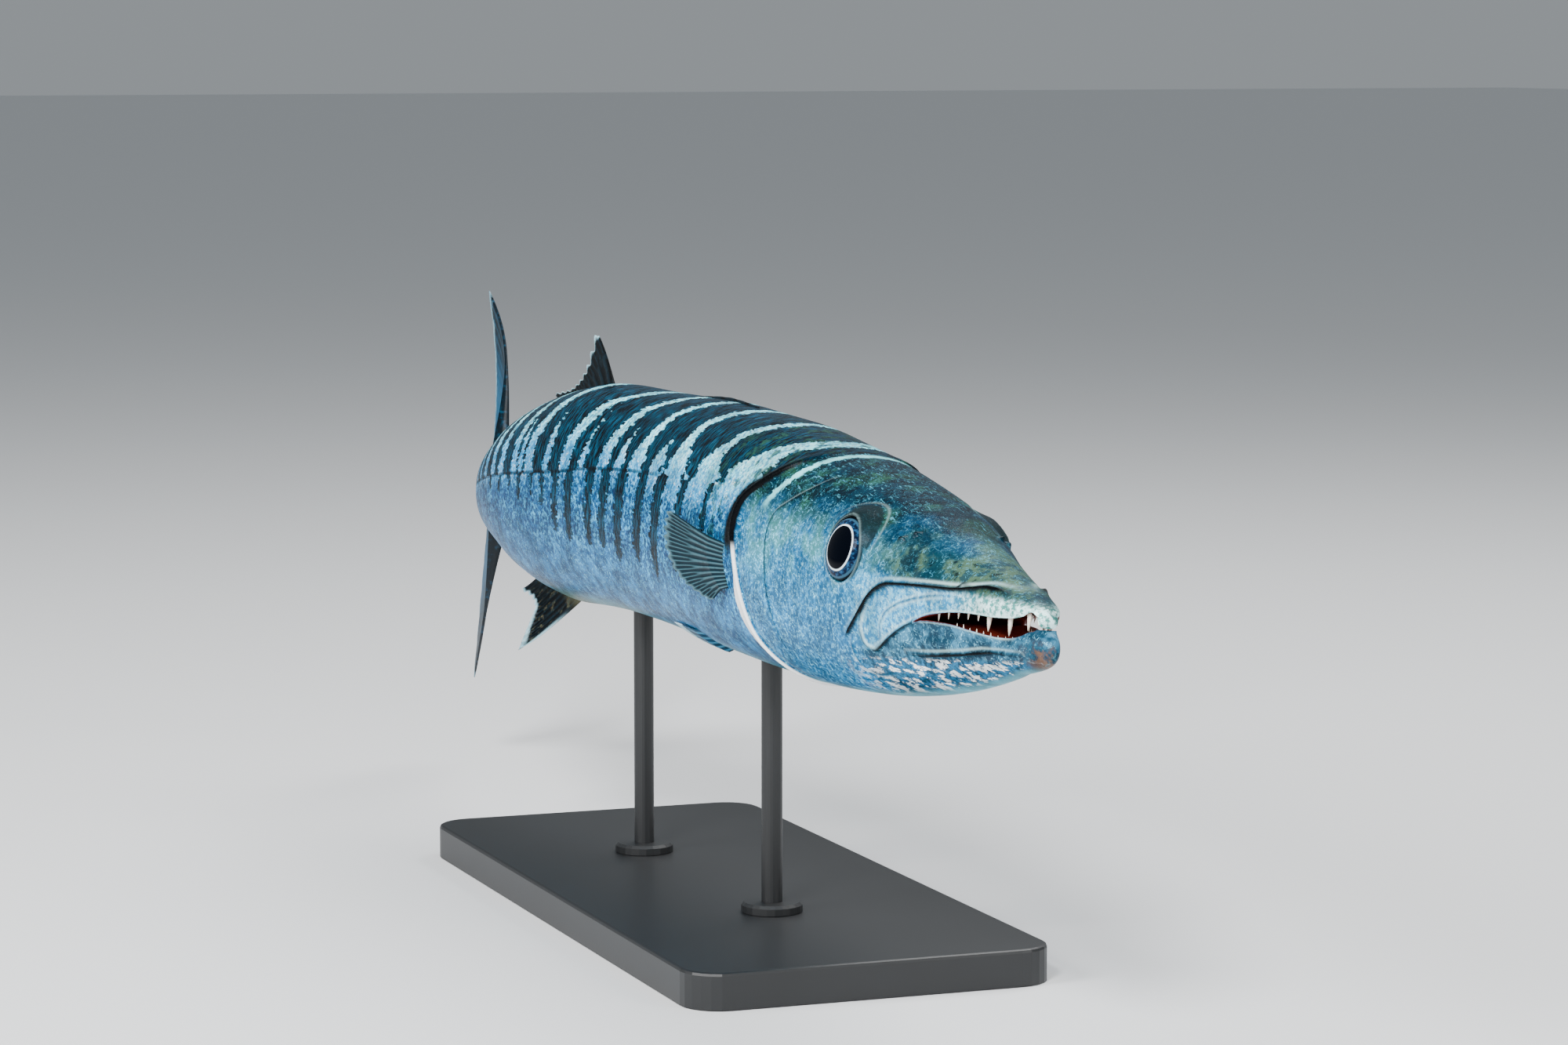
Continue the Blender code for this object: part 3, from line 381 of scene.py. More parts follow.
def buildSkinGrid():
    # two sheets of rows along the fish: the upper with the mouth's roof, the lower with its floor
    fine = np.arange(0.0, skinGrid["fineUntil"], skinGrid["noseStep"])
    coarse = np.arange(skinGrid["fineUntil"], skinGrid["tailEnd"], skinGrid["bodyStep"])
    nose = np.array([0.0, 0.0002, 0.0005, 0.0008, 0.0012, 0.0017, 0.0023, 0.0030])
    stations = np.concatenate([nose, fine[fine > 0.0034], coarse, [skinGrid["tailEnd"]]])
    chin = np.concatenate([[-0.0098, -0.0097, -0.0095, -0.0092], np.arange(-0.0088, -0.0002, 0.0005)])
    sheets = []
    for makeRow, places in ((upperRow, stations), (lowerRow, np.concatenate([chin, stations]))):
        rows = [makeRow(float(s)) for s in places]
        grid = np.stack([np.repeat(-places[:, None], len(rows[0][0]), 1),
                         np.array([row[0] for row in rows]), np.array([row[1] for row in rows])], -1)
        openPart = places < fishForm["gapeEnd"]
        lips = grid[openPart]
        softenLips(lips)
        grid[openPart] = lips
        tip = grid[0].mean(axis=0) * (1, 0, 1)
        # a point and a smaller ring close the tip
        nearTip = [tip + (grid[0] - tip) * share + (ahead, 0, 0)
                   for share, ahead in ((0.0, 0.0004), (0.55, 0.0003))]
        grid = np.concatenate([np.array(nearTip), grid])
        sheets.append((grid, np.concatenate([places[:1], places[:1], places])))
    return sheets


def skinMesh():
    points, faces, lining, around, uvs = [], [], [], [], []
    count = 0
    for grid, places in buildSkinGrid():
        upper = len(points) == 0
        rows, columns = grid.shape[:2]
        lip = skinGrid["liningRows"]
        step = np.linalg.norm(np.diff(grid[:, lip:], axis=1), axis=2)
        path = np.concatenate([np.zeros((rows, 1)), np.cumsum(step, 1)], 1)
        if upper:
            path = path[:, -1:] - path
            meeting = {round(float(s), 6): value for s, value in zip(places, path[:, 0])}
        else:
            path = path + np.array([meeting.get(round(float(s), 6), 0.03) for s in places])[:, None]
        full = np.concatenate([np.repeat(path[:, :1], lip, 1), path], 1)
        inside = np.concatenate([np.ones(lip), [0.75, 0.35, 0.10], np.zeros(columns - lip - 3)])
        inside = inside[None, :] * ((places < fishForm["gapeEnd"]) * smooth(0.001, 0.006, places))[:, None]
        headEnd, headShare = skinGrid["mapHead"], skinGrid["mapHeadShare"]
        onHead = (places + 0.013) / (headEnd + 0.013) * headShare
        onBody = headShare + (places - headEnd) / (skinGrid["tailEnd"] - headEnd) * (1 - headShare)
        along = np.where(places < headEnd, onHead, onBody)
        turn = np.linspace(0, 1, columns)
        turn = 0.5 * (0.42 + 0.58 * turn) if upper else 0.5 * (0.42 * (1 - turn))
        for side in (1, -1):
            quads = gridFaces(rows, columns, count, flip=(side < 0) != upper)
            cell = np.arange(columns - 1)[None, :].repeat(rows - 1, 0).reshape(-1)
            behindMouth = (places[:-1] >= fishForm["gapeEnd"])[:, None].repeat(columns - 1, 1).reshape(-1)
            quads = quads[~(behindMouth & (cell < lip))]
            points.append((grid * (1, side, 1)).reshape(-1, 3))
            faces.append(quads)
            lining.append(inside.reshape(-1))
            around.append(full.reshape(-1))
            v = turn if side > 0 else 1 - turn
            uvs.append(np.stack(np.broadcast_arrays(along[:, None], v[None, :]), -1).reshape(-1, 2))
            count += rows * columns
    points, around, lining = np.concatenate(points), np.concatenate(around), np.concatenate(lining)
    mesh, first = meshFrom("skin", points, np.concatenate(faces), np.concatenate(uvs))
    return mesh, points[first], lining[first], around[first]


# Features of the head, as lines on its side: distance back and height
headLines = {
    "jawFold": (
        (0.022, 0.0052), (0.037, 0.0076), (0.047, 0.008), (0.057, 0.0062), (0.07, 0.0042),
        (0.095, 0.0026), (0.117, 0.001), (0.13, -0.0005), (0.139, -0.0036), (0.146, -0.008),
        (0.1545, -0.0162), (0.163, -0.0245), (0.172, -0.0322), (0.179, -0.038),
    ),
    "foldCurl": ((0.07, 0.0042), (0.069, 0.0062), (0.0665, 0.0082), (0.0615, 0.008)),
    "plateEdge": (
        (0.148, -0.01), (0.1545, -0.019), (0.159, -0.028), (0.1585, -0.0345), (0.155, -0.0385),
        (0.149, -0.0396), (0.142, -0.0372), (0.136, -0.0335),
    ),
    "innerPlate": (
        (0.07, 0.0006), (0.085, -0.0012), (0.108, -0.0062), (0.122, -0.0112), (0.134, -0.0185),
        (0.139, -0.0255), (0.1412, -0.034),
    ),
    "closedLip": (
        (0.1, -0.0162), (0.106, -0.0184), (0.117, -0.023), (0.13, -0.0297), (0.142, -0.0362),
        (0.15, -0.0396),
    ),
    "chin": ((0.01, -0.0236), (0.037, -0.0256), (0.071, -0.0312), (0.094, -0.0347), (0.118, -0.0372)),
    "cheek": (
        (0.242, 0.047), (0.249, 0.041), (0.264, 0.0315), (0.277, 0.0225), (0.28, 0.011), (0.279, -0.003),
        (0.276, -0.0205), (0.273, -0.0385), (0.27, -0.052), (0.262, -0.064),
    ),
    "gill": (
        (0.27, 0.068), (0.281, 0.057), (0.292, 0.0475), (0.306, 0.036), (0.32, 0.023), (0.324, 0.006),
        (0.322, -0.005), (0.318, -0.017), (0.313, -0.0345), (0.308, -0.0525), (0.298, -0.065),
        (0.286, -0.074), (0.27, -0.08),
    ),
    "throatFold": ((0.185, -0.047), (0.195, -0.056), (0.19, -0.064), (0.165, -0.064), (0.135, -0.059)),
    "cornerFold": ((0.165, -0.031), (0.172, -0.042), (0.17, -0.05), (0.158, -0.053), (0.14, -0.05)),
    "lateral": (
        (0.332, 0.033), (0.37, 0.031), (0.42, 0.028), (0.5, 0.0225), (0.56, 0.017), (0.61, 0.011),
        (0.66, 0.005), (0.73, 0.0025), (0.82, 0.003), (0.9, 0.002), (1.03, 0.001),
    ),
    "nostrils": ((0.135, 0.024, 0.0021), (0.13, 0.0275, 0.0015)),
}

headForm = {
    "end": 0.345,  # distance back, behind the gill cover
    "plateRise": 1.1 * mm,
    "foldDepth": 1.8 * mm,
    "foldBank": 0.6 * mm,
    "edgeDepth": 0.8 * mm,
    "lipRise": 1.0 * mm,
    "gillCoverRise": 0.7 * mm,
    "gillDrop": 2.4 * mm,
    "slitDepth": 3.0 * mm,
    "nostrilDepth": 2.2 * mm,
}

# how deep each lesser fold is, and how dark the painted shade in its crease
foldDepths = {
    "foldCurl": (0.3 * mm, 0.8),
    "closedLip": (1.1 * mm, 0.9),
    "chin": (1.6 * mm, 1.0),
    "throatFold": (0.4 * mm, 0.25),
    "cornerFold": (0.6 * mm, 0.35),
}

eyeForm = {
    "at": (0.1810, 0.0134),
    "radius": 0.0184,
    "depth": 0.0086,
    "standsOut": 0.0046,
    "axis": (0.21, 1.0, 0.20),
    "orbitMiddle": (0.1800, 0.0200),
    "orbitReach": (0.0262, 0.0198),
    "orbitDepth": 0.0040,
}


def lineField(s, z, line, count=60):
    # distance to a line, its side (1 below a line that runs back), and the share of the way along it
    a, b = readRows(line, np.linspace(0, 1, count))
    best = np.full(len(s), 1e9)
    side = np.zeros(len(s))
    along = np.zeros(len(s))
    for k in range(count - 1):
        ds, dz = a[k + 1] - a[k], b[k + 1] - b[k]
        length = math.hypot(ds, dz) + 1e-12
        part = np.clip(((s - a[k]) * ds + (z - b[k]) * dz) / length**2, 0, 1)
        away = np.hypot(s - a[k] - part * ds, z - b[k] - part * dz)
        nearer = away < best
        best = np.where(nearer, away, best)
        side = np.where(nearer, np.sign(dz * (s - a[k]) - ds * (z - b[k])), side)
        along = np.where(nearer, (k + part) / (count - 1), along)
    return best, side, along


def eyeFrame(side):
    s, z = eyeForm["at"]
    axis = Vector(eyeForm["axis"]).normalized()
    surface = Vector((-s, float(sideWidth(s, z)), z))
    middle = surface + axis * (eyeForm["standsOut"] - eyeForm["depth"])
    return Vector((middle.x, middle.y * side, middle.z)), Vector((axis.x, axis.y * side, axis.z))


def headFeatures(points, normals, lining):
    # how far each point of the skin moves outwards, and the painted shade in its creases and the painted
    # highlights on their rims
    s, y, z = -points[:, 0], points[:, 1], points[:, 2]
    lift = np.zeros(len(s))
    dark = np.zeros(len(s))
    pale = np.zeros(len(s))
    head = (s < headForm["end"]) & (lining < 0.2)
    hs, hz = s[head], z[head]
    outer = np.zeros(len(hs))
    shade = np.zeros(len(hs))
    light = np.zeros(len(hs))

    # the upper jaw's plate lies over the cheek, under a fold of skin
    away, side, along = lineField(hs, hz, headLines["jawFold"])
    ends = smooth(0.0, 0.12, along) * (1 - smooth(0.90, 1.0, along))
    below = side > 0
    gapeMiddle, gapeHalf = readCurve(fishForm["gape"], hs)
    edgeAway, edgeSide, edgeAlong = lineField(hs, hz, headLines["plateEdge"])
    onPlate = below & (hz > gapeMiddle) & (hs < 0.162) & ((edgeSide > 0) | (hs < 0.148))
    plateRise = smooth(0, 0.0035, np.minimum(away, edgeAway)) * onPlate * smooth(0.006, 0.030, hs)
    nearTip = smooth(0.030, 0.080, hs)
    outer += headForm["plateRise"] * plateRise * nearTip * (1 - 0.4 * smooth(0.006, 0.016, away))
    outer -= headForm["foldDepth"] * bell(away, 0.0009) * ends
    outer += headForm["foldBank"] * bell(away - 0.0022, 0.0018) * ~below * ends * nearTip
    # painted shade in the fold's crease, and a painted highlight along its upper bank
    shade += 1.3 * bell(away, 0.0013 + 0.0008 * smooth(0.45, 0.60, along)) * ends
    light += (0.20 + 0.45 * bell(along - 0.30, 0.16)) * bell(away - 0.0030, 0.0008) * ~below * ends
    edgeEnds = np.sin(math.pi * np.clip(edgeAlong, 0.03, 0.97)) ** 0.5
    outer -= headForm["edgeDepth"] * bell(edgeAway, 0.0008) * edgeEnds
    # painted shade along the plate's edge, and a painted highlight beside it
    shade += 0.7 * bell(edgeAway, 0.0007) * edgeEnds
    light += 0.6 * bell(edgeAway - 0.0012, 0.0007) * (edgeSide > 0) * edgeEnds

    away, side, along = lineField(hs, hz, headLines["innerPlate"])
    ends = np.sin(math.pi * np.clip(along, 0.03, 0.97)) ** 0.6
    outer += -0.0006 * bell(away, 0.0009) * ends + 0.0004 * bell(away - 0.002, 0.0014) * (side < 0) * ends
    # painted shade along the inner line, and a painted highlight beside it
    shade += 0.55 * bell(away, 0.0007) * ends
    light += 0.35 * bell(away - 0.0014, 0.0008) * ends

    for name, (depth, strength) in foldDepths.items():
        away, side, along = lineField(hs, hz, headLines[name])
        ends = np.sin(math.pi * np.clip(along, 0.03, 0.97)) ** 0.5
        outer += -depth * bell(away, 0.0009) * ends + depth * 0.35 * bell(away - 0.0022, 0.0016) * ends
        # painted shade in each crease, and a painted highlight along one side of it
        shade += 1.2 * strength * bell(away, 0.0011) * ends
        light += 0.4 * strength * bell(away - 0.0021, 0.0007) * (side < 0) * ends

    # a painted highlight along the rims of the lips
    rimAway = np.abs(np.abs(hz - gapeMiddle) - gapeHalf - 0.0006)
    light += 0.65 * bell(rimAway, 0.0008) * smooth(0.010, 0.030, hs) * (1 - smooth(0.096, 0.106, hs))
    belowLip = gapeMiddle - gapeHalf - hz
    lipBand = smooth(0.0, 0.004, belowLip) * (1 - smooth(0.008, 0.013, belowLip))
    outer += headForm["lipRise"] * lipBand * smooth(0.0, 0.03, hs) * (1 - smooth(0.10, 0.125, hs))

    away, side, along = lineField(hs, hz, headLines["cheek"])
    ends = np.sin(math.pi * np.clip(along, 0.02, 0.98)) ** 0.5
    outer += -0.0008 * bell(away, 0.0008) * ends + 0.0005 * bell(away - 0.002, 0.0018) * (side < 0) * ends
    # painted shade in the cheek line, and a painted highlight beside it
    shade += bell(away, 0.0010) * ends
    light += 0.35 * bell(away - 0.0014, 0.0005) * (side < 0) * ends

    away, side, along = lineField(hs, hz, headLines["gill"])
    gillSide = np.where(side < 0, away, -away)
    ends = smooth(0.03, 0.16, along) * (1 - smooth(0.93, 1.0, along))
    slit = bell(hz - 0.022, 0.024)
    behind = smooth(-0.0010, 0.0014, gillSide)
    coverRise = headForm["gillCoverRise"] * np.exp(-away / 0.0040) * (1 - behind)
    openingDrop = headForm["gillDrop"] * np.exp(-away / 0.0060) * behind
    outer += (coverRise - openingDrop) * ends
    outer -= headForm["slitDepth"] * bell(gillSide - 0.0034, 0.0030) * slit * ends

    so, zo = eyeForm["orbitMiddle"]
    ra, rb = eyeForm["orbitReach"]
    ahead, upward = (so - hs) / ra, (hz - zo) / rb
    reach = np.hypot(ahead, upward)
    way = np.clip(0.35 + 0.75 * (ahead * 0.62 + upward * 0.78) / np.maximum(reach, 0.1), 0, 1)
    way = np.where(reach < 0.5, np.maximum(way, 0.6), way)
    outer -= eyeForm["orbitDepth"] * (1 - smooth(0.55, 0.98, reach)) * way
    outer += 0.0007 * bell(reach - 1.04, 0.07) * way
    # a painted highlight on the orbit's rim, and painted shade in its recess
    light += 0.16 * bell(reach - 1.02, 0.020) * way
    recess = (1 - smooth(0.88, 0.99, reach)) * smooth(0.35, 0.85, way) * 0.45

    for ns, nz, radius in headLines["nostrils"]:
        away = np.hypot((hs - ns) * 0.8, hz - nz)
        outer -= headForm["nostrilDepth"] * bell(away, radius * 0.75)
        outer += 0.0004 * bell(away - radius * 1.5, radius * 0.5)
        # painted shade in the nostrils
        shade += bell(away, radius * 0.8)
    lift[head] = outer
    dark[head] = shade
    pale[head] = light

    orbit = np.zeros(len(s))
    orbit[head] = recess
    gill = np.where(s > 0.30, 0.2, -0.2)
    gill[head] = gillSide

    move = normals * (lift * (1 - lining))[:, None]
    for eyeSide in (1, -1):
        middle, axis = eyeFrame(eyeSide)
        offset = points + move - np.array(middle)
        height = offset @ np.array(axis)
        across = np.linalg.norm(offset - height[:, None] * np.array(axis), axis=1)
        near = (across < 0.03) & (np.sign(y) == eyeSide)
        fromRim = across - eyeForm["radius"]
        sink = np.where(near, (height + 0.0035) * (1 - smooth(-0.0006, 0.0004, fromRim)), 0)
        collar = np.where(near, bell(fromRim - 0.0014, 0.0009), 0)
        move -= np.clip(sink, 0, None)[:, None] * np.array(axis)
        move += (0.0005 * collar)[:, None] * np.array(axis)
        # painted shade in the gap round the eye, and a painted highlight on its collar
        dark += np.where(near, bell(fromRim - 0.0002, 0.0006), 0)
        pale += np.where(near, 0.16 * bell(fromRim - 0.0016, 0.0006), 0)
        # the shadow round the eye is deepest ahead of it and above
        towardsBrow = smooth(-0.6, 0.5, offset @ np.array((0.6, 0, 0.8)) / 0.017)
        ring = (1 - smooth(0.0012, 0.0050, fromRim)) * towardsBrow
        orbit = np.where(near, np.maximum(orbit, ring), orbit)
    return move, np.clip(dark, 0, 1), np.clip(pale, 0, 1), orbit, gill


# Markings: pale stripes over the back, dark bars on the flank
markings = {
    # where each pale stripe crosses four heights, from the back's middle down, and half its width
    "stripes": (
        (0.297, 0.325, 0.338, 0.341, 0.0085), (0.367, 0.388, 0.395, 0.392, 0.0042),
        (0.44, 0.455, 0.452, 0.445, 0.0048), (0.492, 0.513, 0.518, 0.522, 0.0042),
        (0.54, 0.564, 0.571, 0.577, 0.0044), (0.592, 0.622, 0.63, 0.639, 0.0046),
        (0.662, 0.685, 0.697, 0.705, 0.0046), (0.708, 0.722, 0.731, 0.736, 0.0034),
        (0.74, 0.753, 0.762, 0.766, 0.0032), (0.765, 0.777, 0.787, 0.79, 0.003),
        (0.795, 0.806, 0.813, 0.816, 0.003), (0.826, 0.836, 0.842, 0.845, 0.0028),
        (0.858, 0.866, 0.872, 0.875, 0.0028), (0.89, 0.898, 0.903, 0.906, 0.0028),
        (0.922, 0.93, 0.935, 0.938, 0.0026), (0.956, 0.962, 0.966, 0.968, 0.0024),
    ),
    "heights": (0.072, 0.060, 0.045, 0.028),
    "backHeight": 0.0705,  # of the back, where those heights were taken
    # short pale wedges that split the dark bands above the lateral line
    "wedges": (0.484, 0.551, 0.611, 0.671, 0.721),
    "wedgeTop": 0.046,
    # dark bars below the lateral line: distance back, half width, lowest height
    "bars": (
        (0.38, 0.0036, -0.004), (0.424, 0.0056, -0.03), (0.465, 0.008, -0.036), (0.5, 0.0072, -0.034),
        (0.538, 0.0074, -0.037), (0.567, 0.0064, -0.034), (0.593, 0.006, -0.037), (0.629, 0.0064, -0.038),
        (0.653, 0.0052, -0.034), (0.677, 0.004, -0.02), (0.698, 0.0034, -0.014), (0.724, 0.0036, -0.018),
        (0.746, 0.003, -0.012), (0.769, 0.003, -0.012), (0.795, 0.0028, -0.01), (0.826, 0.0026, -0.008),
        (0.858, 0.0024, -0.008),
    ),
}


def scaleCells(s, around, pitch):
    # the middle of the scale that each point lies on, and a number from -0.5 to 0.5 for that scale
    row = np.floor(around / (pitch * 0.5))
    cell = np.floor(s / pitch + 0.5 * (row % 2))
    draw = np.sin(row * 12.9898 + cell * 78.233) * 43758.5453  # steps so steep that they look random
    return (cell + 0.5 - 0.5 * (row % 2)) * pitch, draw - np.floor(draw) - 0.5


def barDepth(s, z, around, lateralHeight):
    # how far inside a dark mark each point lies, in millimetres; negative on the pale ground
    middle, draw = scaleCells(s, around, scalePlan["bodyPitch"])
    s = s + 0.45 * (middle - s) + 0.0026 * draw
    top = readCurve(fishForm["sections"], s)[1]
    level = np.asarray(markings["heights"])[::-1] / markings["backHeight"]
    share = np.clip(z / np.maximum(top, 0.01), -0.2, 1.0)
    above = np.full(len(s), 0.030)
    for stripe in markings["stripes"]:
        centre = np.interp(share, level, stripe[:4][::-1])
        above = np.minimum(above, np.abs(s - centre) - (stripe[4] + 0.0009) * (1 + 0.45 * (1 - share)))
    for wedge in markings["wedges"]:
        width = 0.20 * (markings["wedgeTop"] * top / markings["backHeight"] - z)
        above = np.minimum(above, np.abs(s - wedge - 0.12 * (0.02 - z)) - np.clip(width, -1, 0.0042))
    # towards the lateral line the bars of the shoulder thin out and break up
    fade = (1 - smooth(0.40, 0.62, s)) * (1 - smooth(0.004, 0.026, z - lateralHeight))
    above = above - 0.0120 * fade * (1 + 1.2 * draw)
    below = np.full(len(s), -0.030)
    for place, width, lowest in markings["bars"]:
        taper = 1.15 * width * (1 - 0.30 * smooth(0, 1, z / lowest))
        taper = taper - 0.014 * smooth(-0.006, 0.012, lowest - z) - 0.0020 * draw
        below = np.maximum(below, taper - np.abs(s - place + 0.05 * z))
    return 1000 * np.where(z > lateralHeight, above, below)


scalePlan = {
    # about eighty scales along the lateral line
    "bodyPitch": 7.5 * mm,
    "cheekPitch": 3.4 * mm,
    "bodyRise": 0.16 * mm,
    "poreStep": 6.2 * mm,
    "poreRise": 0.30 * mm,
    "cheekRise": 0.06 * mm,
}


def scaleRelief(s, around, pitch, height):
    # staggered rows of scales, each lifting towards its rear edge
    across = around / (pitch * 0.5)
    row = np.floor(across)
    along = s / pitch + 0.5 * (row % 2)
    along = along - np.floor(along)
    return height * (along * (1 - along**8)) * np.abs(np.sin(math.pi * across)) ** 0.6


def finishSkin():
    mesh, points, lining, around = skinMesh()
    print("stage: skin grid", len(points), "points")
    normals = np.zeros(len(points) * 3, np.float32)
    mesh.vertex_normals.foreach_get("vector", normals)
    normals = normals.reshape(-1, 3)
    s, z = -points[:, 0], points[:, 2]
    move, dark, pale, orbit, gill = headFeatures(points, normals, lining)
    lateralHeight = readCurve(headLines["lateral"], s)
    body = smooth(0.000, 0.006, gill) * (1 - smooth(0.985, 1.01, s))
    fromLine = z - lateralHeight
    lateral = bell(fromLine, 0.0011) * body * smooth(0.335, 0.36, s)
    pores = 0.5 + 0.5 * np.cos(2 * math.pi * s / scalePlan["poreStep"])
    relief = scaleRelief(s, around, scalePlan["bodyPitch"], scalePlan["bodyRise"]) * body
    relief += scalePlan["poreRise"] * lateral * pores
    _, top, bottom = readCurve(fishForm["sections"], np.clip(s, 0.002, 1.0))
    chinBottom = readCurve(fishForm["chinSections"], np.clip(s, -0.0098, 0.040))[2]
    bottom = np.where(s < 0.040, np.minimum(bottom, chinBottom), bottom)
    height = np.where(z > 0, z / top, -z / bottom)
    cheeks = smooth(0.17, 0.22, s) * (1 - smooth(-0.004, 0.0, gill)) * smooth(-0.95, -0.8, height)
    relief += scaleRelief(s, around, scalePlan["cheekPitch"], scalePlan["cheekRise"]) * cheeks
    moved = points + move + normals * (relief * (1 - lining))[:, None]
    mesh.vertices.foreach_set("co", layAlongCurve(moved).astype(np.float32).ravel())
    mesh.update()
    setPointValues(mesh, "straight", np.stack([s, points[:, 1], z], 1))
    setPointValues(mesh, "around", around)
    setPointValues(mesh, "lining", lining)
    setPointValues(mesh, "paintedCreaseShade", dark)
    setPointValues(mesh, "paintedRimHighlight", pale)
    setPointValues(mesh, "orbitShade", orbit)
    setPointValues(mesh, "gillSide", gill * 1000)
    setPointValues(mesh, "heightShare", height)
    setPointValues(mesh, "barDepth", barDepth(s, z, around, lateralHeight))
    setPointValues(mesh, "lateralRise", fromLine * 1000)
    setPointValues(mesh, "gapeRise", (z - readCurve(fishForm["gape"], s)[0]) * 1000)
    return mesh


skinColours = {
    "bar": "#020A10",
    "barSheen": "#0E4862",
    "paleStripe": "#90F4FC",
    "paleStripeLow": "#34A6DC",
    "flank": "#12639C",
    "flankDark": "#08335A",
    # painted glints on the flank
    "flankGlint": "#58C4F2",
    "belly": "#0E5384",
    "bellyLight": "#2A82BA",
    "underside": "#5A98A8",
    "headTop": "#08293A",
    "headDark": "#03131C",
    "headOlive": "#1E4638",
    # painted glints on the crown and snout
    "headGlint": "#4FA4BC",
    "cheek": "#2286C0",
    "cheekDark": "#145A86",
    # painted glints on the cheeks, lower jaw and belly
    "blueGlint": "#86D8F6",
    "snout": "#16404A",
    "snoutLight": "#46624E",
    "plate": "#2478A8",
    "plateLight": "#5CB2D8",
    "lip": "#4A8A84",
    # the lip's pale spots, and painted highlights on the upper jaw and on the rims of creases
    "lipPaleAndHighlight": "#CFF6F6",
    "jawDark": "#173E54",
    "jawLight": "#38708C",
    "scratch": "#F4FBFC",
    "chinTip": "#6C5040",
    "membrane": "#FAFCFC",
    # painted shade, in the gill slit and in the creases
    "slit": "#020406",
    # painted shade in the eye's recess
    "orbitShadeNear": "#05090C",
    "orbitShadeFar": "#122226",
    "mouth": "#6A2418",
    "mouthFront": "#7A4034",
    "vent": "#4E5A3C",
}

skinPattern = {
    # features in a metre: 1000 divided by their size in millimetres
    "speckle": 360.0,  # spots 2.8 mm across
    "grain": 1100.0,  # 0.9 mm, the finest that shows
    "cloud": 38.0,  # patches 26 mm across
    "mottle": 95.0,  # patches 10 mm across
    "swirl": 190.0,  # curls 5 mm across
    "scale": 330.0,  # 3 mm, coarser than the real striae so that they show
    "dash": (130.0, 460.0, 1.0),  # 8 mm long and 2 mm high, as the rows of scales run
    "hair": (620.0, 90.0, 1.0),  # 1.6 mm wide and 11 mm long, down the dark bands
    "scratches": (110.0, 110.0, 340.0),  # 9 mm long and 3 mm high, under the chin
}

